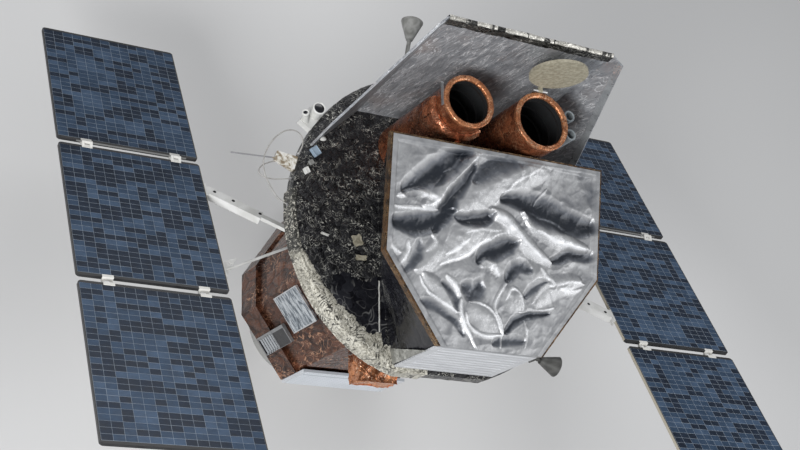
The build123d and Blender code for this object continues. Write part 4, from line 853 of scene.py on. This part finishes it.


# The tube film is darker than the mouth's and the cowl's copper: partly its own duller copper, partly painted shade for
# the shade the tubes stand in.
copper_film_with_painted_shade = foil(
    "copper_tube_film", (0.075, 0.020, 0.010), (0.38, 0.125, 0.055), (0.85, 0.48, 0.28), 15.0, 0.28, 0.6, 0.008
)
mouth_film = foil(
    "copper_mouth_film", (0.20, 0.060, 0.024), (0.66, 0.27, 0.12), (1.0, 0.74, 0.50), 22.0, 0.26, 0.6, 0.006, 0.8
)
baffle_black = paint("baffle_black", (0.012, 0.013, 0.014), (0.006, 0.006, 0.007), 0.6, 12.0, 200.0)
liner_foot, baffle_half, baffle_deep = 2.6815, 0.001, 0.016
mouth_profile = (
    # out from the bore, up from the mouth
    (0.0145, -0.030), (0.0180, -0.020), (0.0190, -0.006), (0.0160, 0.002), (0.004, 0.0045), (-0.012, 0.002),
    (-0.021, -0.006), (-0.020, -0.020), (-0.006, -0.034), (-0.002, -0.045),
)
for side_name, tube_x, tube_y, bore_r, mouth_z in (
    ("left", -0.297, 0.700, 0.180, 3.440), ("right", 0.297, 0.657, 0.202, 3.450),
):
    dress(f"telescope_tube_{side_name}", copper_film_with_painted_shade)
    tube_stand = Matrix.Translation((tube_x, tube_y, 0.0))
    liner_bm = bmesh.new()
    liner_r = bore_r - 0.0012
    profile = [(0.002, liner_foot), (liner_r, liner_foot)]
    for baffle in range(6):
        baffle_z = liner_foot + 0.11 + baffle * 0.115
        low, high = baffle_z - baffle_half, baffle_z + baffle_half
        profile += [(liner_r, low), (liner_r - baffle_deep, low), (liner_r - baffle_deep, high), (liner_r, high)]
    profile += [(liner_r, mouth_z - 0.010), (liner_r - 0.002, mouth_z - 0.009)]
    spin_profile(liner_bm, profile, tube_stand, 96)
    foot_loop = [edge for edge in liner_bm.edges if edge.is_boundary and edge.verts[0].co.z < liner_foot + 0.0005]
    bmesh.ops.contextual_create(liner_bm, geom=foot_loop)
    bmesh.ops.recalc_face_normals(liner_bm, faces=liner_bm.faces)
    bmesh.ops.reverse_faces(liner_bm, faces=liner_bm.faces)
    add_piece(f"tube_liner_{side_name}", liner_bm, [baffle_black], smooth=False)
    wrap_bm = bmesh.new()
    spin_profile(wrap_bm, [(bore_r + out, mouth_z + up) for out, up in mouth_profile], tube_stand, 180)
    bmesh.ops.subdivide_edges(wrap_bm, edges=wrap_bm.edges[:], cuts=1)
    for vertex in wrap_bm.verts:
        outward = Vector((vertex.co.x - tube_x, vertex.co.y - tube_y, 0.0)).normalized()
        ruck = ruffle(outward.x * 5.0, outward.y * 5.0, vertex.co.z * 20.0) + 0.5 * noise.noise(vertex.co * 55.0)
        vertex.co += outward * (0.0022 * ruck) + Vector((0.0, 0.0, 0.0012 * noise.noise(vertex.co * 40.0)))
    add_piece(f"tube_mouth_wrap_{side_name}", wrap_bm, [mouth_film], outward=True)

# Padded cowl: a crumpled copper blanket tied round the left tube below its mouth, and a copper strap
# that runs from it to the mask's edge.
cowl_film = foil(
    "copper_cowl_film", (0.12, 0.032, 0.014), (0.52, 0.18, 0.085), (0.95, 0.66, 0.45), 18.0, 0.25, 0.65, 0.008, 0.8
)
wrap("tube_cowl", "tube_cowl_cover", cowl_film, 0.012, (0.075, 0.014, 0.0, 17))
strap_wide = 0.038
strap_ends = (Vector((-0.262, 0.500, 3.262)), Vector((-0.352, 0.4235, 3.338)))
strap_side = Vector((0.55, -0.45, 0.70)).normalized()
strap_bm = bmesh.new()
bmesh.ops.create_grid(strap_bm, x_segments=28, y_segments=5, size=0.5)
for vertex in strap_bm.verts:
    share = vertex.co.x + 0.5
    across_strap = vertex.co.y * strap_wide * (1.0 + 0.25 * ruffle(share * 6.0, 2.0))
    sag = -0.012 * sin(pi * share) + 0.004 * ruffle(share * 9.0, vertex.co.y * 3.0, 4.0)
    vertex.co = strap_ends[0].lerp(strap_ends[1], share) + strap_side * across_strap + Vector((0.0, 0.0, sag))
strap = add_piece("cowl_strap", strap_bm, [cowl_film], outward=True)


# Bracket beside the left tube's mouth: a bent aluminium strip with a hooked end, riveted on
# beside the copper wrap.
def round_edges(piece_bm, offset, segments=2):
    """Bevel all edges."""
    bmesh.ops.bevel(
        piece_bm, geom=piece_bm.edges[:], offset=offset, segments=segments, profile=0.5, material=-1, affect="EDGES"
    )


bracket_alloy = metal("bracket_alloy", (0.45, 0.46, 0.47), (0.70, 0.71, 0.72), 0.35)
bracket_bm = bmesh.new()
for strip_place, strip_size in (
    ((-0.4935, 0.735, 3.408), (0.005, 0.170, 0.030)), ((-0.505, 0.8175, 3.412), (0.028, 0.005, 0.022)),
):
    strip = Matrix.Translation(strip_place) @ Matrix.Diagonal((*strip_size, 1.0))
    bmesh.ops.create_cube(bracket_bm, size=1.0, matrix=strip)
round_edges(bracket_bm, 0.001)
add_piece("mouth_bracket", bracket_bm, [bracket_alloy], smooth=False)

# Finder tubes, door bracket and door. The door is a painted honeycomb disc with a stiffening lip; its
# inner face shows the faint grid of the cells below.
finder_grey = metal("finder_grey", (0.22, 0.25, 0.27), (0.42, 0.46, 0.48), 0.4, metallic=0.5)
dress("finder_pair", finder_grey)
dress("door_bracket", bracket_alloy)
door_paint, tree, shader = new_finish("door_beige_paint", 0.5)
weave = tile_lines(on_object(tree, turn=upright_face), 0.034, 0.0016, 0.8)
mottle = cloud(on_object(tree), 45.0, 4.0)
shade = tones(mottle, ((0.35, (0.27, 0.245, 0.18)), (0.65, (0.42, 0.39, 0.30))))
colour = laid_over(times(weave, 0.3), shade, (0.20, 0.18, 0.13))
finish_surface(shader, colour, (mottle, 0.42, 0.6), minus(mottle, weave), 0.001)
dress("telescope_door", door_paint)

# Sunshade: carbon panels under silver-grey film, creased across the panels where it was pulled tight.
# Its top edge is bound with a ragged dark band, and the free edges carry light metal flanges.
shade_film, tree, shader = new_finish("silver_shade_film", 0.3, 0.45, 0.2)
turned = {"Vector": on_object(tree, turn=(0.0, radians(-12.0), 0.0)), "Scale": (3.4, 1.0, 0.9)}
slanted = wired(tree, "ShaderNodeMapping", turned).outputs["Vector"]
folds = cloud(slanted, 4.5, 5.0, 0.8)
fine = cloud(slanted, 19.0, 5.0, 1.0)
tint = cloud(on_object(tree), 3.5, 3.0)
line = spread(apart(cloud(slanted, 7.0, 2.0, 1.2), 0.5), 0.006, 0.030, 1.0, 0.0)
# Painted light and shade: the tone is darker in the folds' hollows and lighter on their crests; thin white lines along
# the creases are painted highlights.
colour = tones(
    mean(folds, fine), ((0.34, (0.25, 0.262, 0.285)), (0.5, (0.37, 0.385, 0.41)), (0.66, (0.56, 0.575, 0.60)))
)
colour = laid_over(spread(tint, 0.55, 0.75, 0.0, 0.45), colour, (0.40, 0.31, 0.28))
colour = laid_over(times(line, spread(folds, 0.40, 0.54, 0.0, 0.95)), colour, (0.86, 0.87, 0.89))
finish_surface(shader, colour, (fine, 0.26, 0.42), plus(folds, times(fine, 0.6)), 0.012)
for panel_name, seed in (("back", 31), ("left", 33), ("right", 35)):
    creases = (0.24, 0.0025, 0.0035, seed)
    wrap(f"sunshade_{panel_name}", f"sunshade_film_{panel_name}", shade_film, 0.022, creases)
flange_alloy = metal("flange_alloy", (0.34, 0.36, 0.38), (0.62, 0.64, 0.66), 0.3, (1.0, 1.0, 3.0), 14.0, 0.6)
for side_name in ("left", "right"):
    dress(f"sunshade_flange_{side_name}", flange_alloy)
band_film = foil(
    "dark_band_film", (0.004, 0.004, 0.004), (0.085, 0.085, 0.08), (0.80, 0.78, 0.72), 13.0, 0.24, 0.5, 0.010,
    painted_glints=0.6, stretch=(1.0, 1.0, 1.6), worm=1.1,
)
painted_highlight_film = foil(
    "painted_highlight_crest_film", (0.30, 0.29, 0.26), (0.78, 0.76, 0.70), (0.95, 0.93, 0.88), 22.0, 0.24, 0.5, 0.006, 0.8
)
band_profile = (
    (1.071, 3.7620), (1.0725, 3.780), (1.0740, 3.798), (1.0755, 3.815), (1.0760, 3.829), (1.0790, 3.8375),
    (1.0860, 3.8385), (1.0925, 3.833), (1.0920, 3.812), (1.0900, 3.790),
)
band_half, band_steps, band_crest = 0.672, 150, 3.829
band_bm = bmesh.new()
band_chain = [band_bm.verts.new((-band_half, y, z)) for y, z in band_profile]
newest = [band_bm.edges.new(pair) for pair in zip(band_chain, band_chain[1:])]
for step in range(band_steps):
    grown = bmesh.ops.extrude_edge_only(band_bm, edges=newest)["geom"]
    newest = [part for part in grown if isinstance(part, bmesh.types.BMEdge)]
    moved = [part for part in grown if isinstance(part, bmesh.types.BMVert)]
    bmesh.ops.translate(band_bm, vec=(2 * band_half / band_steps, 0.0, 0.0), verts=moved)
for vertex in band_bm.verts:
    x, y, z = vertex.co
    hang = max(0.0, (band_crest - z) / 0.067)
    ragged = ruffle(x * 7.0, 1.0) * 0.5 + ruffle(x * 26.0, 4.0) * 0.3
    puff = 0.006 * (ruffle(x * 16.0, z * 14.0, 2.0) + 0.8 * ruffle(x * 42.0, z * 40.0, 6.0))
    front = y < 1.0785
    vertex.co.z += -0.020 * hang * ragged + (0.006 * ruffle(x * 5.0, 0.0, 9.0) if hang == 0.0 else 0.0)
    vertex.co.y += (-0.0095 - abs(puff)) if front else (0.0035 + abs(puff) * 0.6)
# Painted highlight: faces along the band's top crest take the bright film, broken in patches.
for face in band_bm.faces:
    middle = face.calc_center_median()
    patchy = ruffle(middle.x * 9.0, 3.0) + 0.6 * ruffle(middle.x * 31.0, 8.0, middle.z * 20.0)
    face.material_index = int(middle.z > 3.8265 and patchy > -0.25)
band = add_piece("sunshade_top_band", band_bm, [band_film, painted_highlight_film], outward=True)

# Horn antennas, spun from sheet and painted grey, and the rod antenna on its tapered bracket; the
# lower horn is a darker grey.
horn_grey = paint("horn_grey", (0.27, 0.27, 0.26), (0.15, 0.15, 0.14), 0.42, 16.0, 120.0)
horn_dark = paint("horn_dark", (0.085, 0.085, 0.080), (0.045, 0.045, 0.043), 0.45, 16.0, 120.0)
rod_grey, tree, shader = new_finish("rod_grey_and_cream", 0.42)
stain = cloud(on_object(tree), 26.0, 5.0, 1.0)
cream = tones(stain, ((0.40, (0.22, 0.17, 0.11)), (0.50, (0.56, 0.53, 0.46)), (0.60, (0.72, 0.71, 0.68))))
colour = laid_over(below(coordinate(tree, "X"), -1.315), cream, (0.27, 0.27, 0.28))
finish_surface(shader, colour, (stain, 0.5, 0.36), stain, 0.001)
dress("horn_upper", horn_grey)
dress("horn_lower", horn_dark)
dress("rod_antenna", rod_grey)

# Star trackers on the rim: white painted housings, each with a thin hood screwed round its mouth and
# black glass inside.
tracker_white = paint("tracker_white", (0.74, 0.74, 0.72), (0.64, 0.64, 0.61), 0.4, 12.0, 150.0)
dress("star_trackers", tracker_white)
lens_black = paint("lens_black", (0.010, 0.011, 0.016), (0.004, 0.004, 0.006), 0.12, 20.0, 40.0)
tracker_way = heading(144.0)
tracker_along = heading(234.0)
tracker_seat = 2.420
hoods_bm = bmesh.new()
lenses_bm = bmesh.new()
for barrel_along, barrel_out, barrel_r, barrel_length, barrel_lean in (
    (-0.008, 0.048, 0.045, 0.110, 6.0), (0.082, 0.066, 0.024, 0.096, 30.0),
):
    barrel_axis = tracker_way * sin(radians(barrel_lean)) + Vector((0.0, 0.0, cos(radians(barrel_lean))))
    barrel_foot = deck_centre + tracker_way * (deck_radius + barrel_out) + tracker_along * barrel_along
    barrel_mouth = place_on(barrel_foot + Vector((0.0, 0.0, tracker_seat)) + barrel_axis * barrel_length, barrel_axis)
    hood_profile = [(barrel_r + out, up) for out, up in (
        (0.0004, -0.020), (0.0035, -0.018), (0.0035, 0.007), (-0.001, 0.009), (-0.006, 0.006), (-0.007, 0.0012),
    )]
    spin_profile(hoods_bm, hood_profile, barrel_mouth, 40)
    for screw in range(6):
        screw_way = heading(60.0 * screw)
        screw_foot = barrel_mouth @ (screw_way * (barrel_r + 0.0033) + Vector((0.0, 0.0, -0.010)))
        add_screw(hoods_bm, screw_foot, barrel_mouth.to_3x3() @ screw_way, 0.002, 0.0012)
    bmesh.ops.create_uvsphere(
        lenses_bm, u_segments=32, v_segments=12, radius=barrel_r - 0.0065,
        matrix=barrel_mouth @ Matrix.Translation((0.0, 0.0, 0.0008)) @ Matrix.Diagonal((1.0, 1.0, 0.12, 1.0)),
    )
add_piece("star_tracker_hoods", hoods_bm, [tracker_white], outward=True)
add_piece("star_tracker_lenses", lenses_bm, [lens_black])

# Coaxial cables at the deck's edge: two semi-rigid cables in grey jackets, bent by hand before they
# were fitted, that keep their loops in the open between their crimped sockets.
cable_grey = paint("cable_grey", (0.40, 0.39, 0.37), (0.29, 0.28, 0.265), 0.4, 40.0, 300.0)
coax_across = 0.009
socket_across = 0.018
coax_routes = (
    # name, measured length, then points: angle round the deck, distance out from the rim, height over the deck's foot
    ("long", 0.963, (
        (160.6, 0.009, 0.108), (159.4, 0.015, 0.164), (157.5, 0.038, 0.204), (156.5, 0.088, 0.224),
        (157.0, 0.147, 0.234), (158.9, 0.203, 0.234), (162.0, 0.245, 0.224), (165.8, 0.271, 0.204),
        (169.1, 0.270, 0.174), (171.9, 0.236, 0.144), (174.1, 0.185, 0.114), (176.1, 0.134, 0.094),
        (178.2, 0.084, 0.080), (179.4, 0.009, 0.074),
    )),
    ("short", 0.564, (
        (169.7, 0.009, 0.072), (171.1, 0.081, 0.069), (171.9, 0.169, 0.059), (171.3, 0.224, 0.049),
        (169.9, 0.246, 0.041), (167.8, 0.222, 0.034), (165.7, 0.168, 0.028), (163.9, 0.105, 0.024),
        (163.4, 0.062, 0.023), (162.9, 0.009, 0.027),
    )),
)
for route_name, route_length, route in coax_routes:
    route_points = [
        deck_centre + heading(rim_angle) * (deck_radius + out) + Vector((0.0, 0.0, deck_low + up))
        for rim_angle, out, up in route
    ]
    for socket_end, end in (("first", 0), ("last", -1)):
        socket_bm = bmesh.new()
        bmesh.ops.create_cube(socket_bm, size=socket_across)
        round_edges(socket_bm, 0.002)
        socket_stand = place_on(route_points[end], heading(route[end][0]))
        bmesh.ops.transform(socket_bm, matrix=socket_stand, verts=socket_bm.verts)
        socket_name = f"coax_socket_{route_name}_{socket_end}"
        add_piece(socket_name, socket_bm, [screw_steel], smooth=False)
    line = bpy.data.curves.new(f"coax_cable_{route_name}", "CURVE")
    line.dimensions = "3D"
    line.resolution_u = 10
    line.bevel_depth = coax_across / 2
    line.bevel_resolution = 3
    line.use_fill_caps = True
    spline = line.splines.new("NURBS")
    spline.points.add(len(route_points) - 1)
    for point, place in zip(spline.points, route_points):
        point.co = (*place, 1.0)
    spline.order_u = 3
    spline.use_endpoint_u = True
    line.materials.append(cable_grey)
    cable = bpy.data.objects.new(f"coax_cable_{route_name}", line)
    bpy.context.scene.collection.objects.link(cable)
    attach(cable, "satellite")
    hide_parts(f"coax_{route_name}")

# Small units on the deck beside the sunshade's left foot: a light box, a round cover and two sensors,
# each a folded aluminium case with rounded edges, screwed down.
pale_blue = paint("pale_blue_case", (0.36, 0.46, 0.56), (0.24, 0.31, 0.39), 0.4, 20.0, 150.0)
for unit_name, unit_place, unit_turn, unit_size, unit_material in (
    ("box", (-1.012, 0.560), -52.0, (0.070, 0.058, 0.034), pale_blue),
    ("sensor_high", (-1.085, 0.400), -62.0, (0.046, 0.034, 0.040), tracker_white),
    ("sensor_low", (-1.045, 0.470), -58.0, (0.036, 0.036, 0.028), horn_grey),
):
    unit_across, unit_along, unit_high = unit_size
    unit_bm = bmesh.new()
    bmesh.ops.create_cube(unit_bm, size=1.0)
    bmesh.ops.scale(unit_bm, vec=unit_size, verts=unit_bm.verts)
    round_edges(unit_bm, 0.004, 3)
    lid = max(unit_bm.faces, key=lambda face: face.calc_center_median().z + face.calc_area())
    bmesh.ops.inset_region(unit_bm, faces=[lid], thickness=0.006, depth=-0.002)
    for corner_x in (-0.5, 0.5):
        for corner_y in (-0.5, 0.5):
            screw_foot = (corner_x * (unit_across - 0.008), corner_y * (unit_along - 0.008), unit_high / 2)
            add_screw(unit_bm, screw_foot, (0.0, 0.0, 1.0), 0.002, 0.0012)
    unit_centre = Matrix.Translation((*unit_place, deck_top + unit_high / 2 - 0.002))
    unit_stand = unit_centre @ Matrix.Rotation(radians(unit_turn), 4, "Z")
    bmesh.ops.transform(unit_bm, matrix=unit_stand, verts=unit_bm.verts)
    add_piece(f"deck_unit_{unit_name}", unit_bm, [unit_material], smooth=False)
cover_bm = bmesh.new()
cover_stand = Matrix.Translation((-0.952, 0.672, deck_top + 0.010)) @ Matrix.Diagonal((1.0, 0.62, 0.5, 1.0))
bmesh.ops.create_uvsphere(cover_bm, u_segments=32, v_segments=16, radius=0.030, matrix=cover_stand)
add_piece("deck_unit_cover", cover_bm, [tracker_white])

# Array drives: anodised gear housings, each held by a ring of screws, with the white yoke's hub on
# the shaft.
axis_z = 2.15
screw_count, screw_ring_r, drive_face_x = 12, 0.0855, 0.8269
drive_alloy = metal("drive_alloy", (0.22, 0.22, 0.21), (0.45, 0.45, 0.44), 0.35)
yoke_white = paint("yoke_white", (0.68, 0.68, 0.67), (0.55, 0.55, 0.53), 0.42, 7.0, 110.0)
for side, side_name in ((-1, "left"), (1, "right")):
    dress(f"wing_drive_{side_name}", drive_alloy)
    for piece_name in ("wing_hub", "yoke_arm", "yoke_strut"):
        dress(f"{piece_name}_{side_name}", yoke_white)
    screws_bm = bmesh.new()
    for index in range(screw_count):
        angle = 2 * pi * (index + 0.5) / screw_count
        foot = Vector((side * drive_face_x, screw_ring_r * cos(angle), axis_z + screw_ring_r * sin(angle)))
        add_screw(screws_bm, foot, (side, 0.0, 0.0), 0.0055, 0.004)
    add_piece(f"drive_screws_{side_name}", screws_bm, [screw_steel], smooth=False)

# Solar panels: carbon-faced honeycomb boards with glass-covered cells bonded to one side in long
# strings. Each board's cells are raised on a thin sheet, and fold with the board.
wing_angle = radians(29.0)
wing_along = Vector((0.0, cos(wing_angle), -sin(wing_angle)))
wing_normal = Vector((0.0, sin(wing_angle), cos(wing_angle)))
wing_turn = Matrix((Vector((1.0, 0.0, 0.0)), wing_along, wing_normal)).transposed().to_4x4()
wing_place = Matrix.Translation((0.0, 0.0, axis_z)) @ wing_turn
panel_mid_x, panel_pitch = 2.1765, 1.368
cell_columns, cell_rows = 14, 26
cell_pitch_x, cell_pitch_s = 0.0735, 0.0489


def cell_glass(name, deep, light):
    """Solar cell under cover glass: deep blue with silver finger lines and a faint drift of tone."""
    material, tree, shader = new_finish(name, 0.36)
    shader.inputs["Specular IOR Level"].default_value = 0.18
    drift = cloud(on_object(tree), 14.0, 4.0)
    fingers = cloud(on_object(tree, (1.0, 6.0, 6.0)), 30.0, 3.0)
    shade = tones(mean(drift, fingers), ((0.36, deep), (0.64, light)))
    finish_surface(shader, shade, (drift, 0.32, 0.44), fingers, 0.0004)
    return material


cell_blues = (
    cell_glass("solar_cell_mid", (0.021, 0.041, 0.076), (0.040, 0.072, 0.126)),
    cell_glass("solar_cell_light", (0.036, 0.064, 0.112), (0.064, 0.106, 0.176)),
    cell_glass("solar_cell_dark", (0.006, 0.011, 0.022), (0.016, 0.028, 0.052)),
)
cell_wires = metal("solar_cell_wires", (0.15, 0.18, 0.22), (0.34, 0.39, 0.45), 0.45, metallic=0.2)
board_black, tree, shader = new_finish("panel_board_black", 0.42)
threads_per_metre = 900.0
inner_rim_x, hinge_near_x, hinge_far_x = 1.6545, 1.833, 2.493
on_board = wired(tree, "ShaderNodeSeparateXYZ", {"Vector": on_object(tree, turn=(wing_angle, 0.0, 0.0))}).outputs
warp, weft = (maths("SINE", times(on_board[axis], threads_per_metre)) for axis in ("X", "Y"))
from_root = maths("ABSOLUTE", coordinate(tree, "X"))
level_part = times(coordinate(tree, "Y"), cos(wing_angle))
along_panel = maths("ABSOLUTE", minus(level_part, times(minus(coordinate(tree, "Z"), axis_z), sin(wing_angle))))
from_fold = apart(along_panel, panel_pitch / 2)
from_hinge = maths("MINIMUM", apart(from_root, hinge_near_x), apart(from_root, hinge_far_x))
drift = cloud(on_object(tree), 8.0, 4.0)
colour = tones(drift, ((0.3, (0.008, 0.008, 0.009)), (0.7, (0.026, 0.026, 0.028))))
colour = laid_over(below(from_fold, 0.0255), colour, (0.17, 0.17, 0.165))
colour = laid_over(times(below(from_fold, 0.0475), below(from_hinge, 0.0385)), colour, (0.72, 0.71, 0.68))
colour = laid_over(below(from_root, inner_rim_x), colour, (0.42, 0.385, 0.31))
finish_surface(shader, colour, (drift, 0.34, 0.5), plus(times(times(warp, weft), 0.3), drift), 0.0006)
hole_shade_plug_profile = (
    (0.0002, -0.0032), (0.0075, -0.0032), (0.0085, -0.0008), (0.0090, 0.0014), (0.0118, 0.0012), (0.0128, 0.0002),
)
for side, side_name in ((-1, "left"), (1, "right")):
    for place, panel_name in ((1, "upper"), (0, "middle"), (-1, "lower")):
        cells_bm = bmesh.new()
        bmesh.ops.create_grid(cells_bm, x_segments=cell_columns, y_segments=cell_rows, size=0.5)
        field = (cell_columns * cell_pitch_x, cell_rows * cell_pitch_s, 1.0)
        bmesh.ops.scale(cells_bm, vec=field, verts=cells_bm.verts)
        cell_faces = list(cells_bm.faces)
        bmesh.ops.inset_individual(cells_bm, faces=cell_faces, thickness=0.0016, depth=0.0008)
        for face in cell_faces:
            centre = face.calc_center_median()
            column = round(centre.x / cell_pitch_x + cell_columns / 2)
            row = round(centre.y / cell_pitch_s + cell_rows / 2)
            shade = noise.cell(Vector(((column // 2) * 1.7, row * 2.3, side * 5.1 + place * 9.7)))
            fleck = noise.cell(Vector((column * 3.1, row * 1.9, side * 2.1 + place * 4.7)))
            tone = 0.62 * shade + 0.38 * fleck
            face.material_index = 3 if tone > 0.06 else (2 if tone < -0.42 else 1)
        bmesh.ops.translate(cells_bm, vec=(side * panel_mid_x, place * panel_pitch, 0.0122), verts=cells_bm.verts)
        bmesh.ops.transform(cells_bm, matrix=wing_place, verts=cells_bm.verts)
        body = f"wing_{side_name}" if place == 0 else f"wing_{side_name}_{panel_name}"
        cell_finishes = [cell_wires, *cell_blues]
        add_piece(f"cells_{panel_name}_{side_name}", cells_bm, cell_finishes, body, smooth=False)
        dress(f"panel_{panel_name}_{side_name}", board_black)

    # Black plugs under the three holes of the channel arm's upper flange: painted shade, so that the holes look dark
    hole_shade_plugs_bm = bmesh.new()
    arm_foot = wing_place @ Vector((side * 1.6467, -side * 0.385, 0.0))
    arm_root = wing_place @ Vector((side * 0.9653, -side * 0.030, 0.0))
    arm_way = (arm_root - arm_foot).normalized()
    arm_level = wing_normal.cross(arm_way)
    for reach in (0.065, 0.214, 0.428):
        hole = arm_foot + arm_way * reach + arm_level * 0.010 + wing_normal * 0.018
        spin_profile(hole_shade_plugs_bm, hole_shade_plug_profile, place_on(hole, wing_normal), 24)
    hole_shade_plugs_name = f"yoke_hole_shade_plugs_{side_name}"
    add_piece(hole_shade_plugs_name, hole_shade_plugs_bm, [baffle_black], f"wing_{side_name}", outward=True)
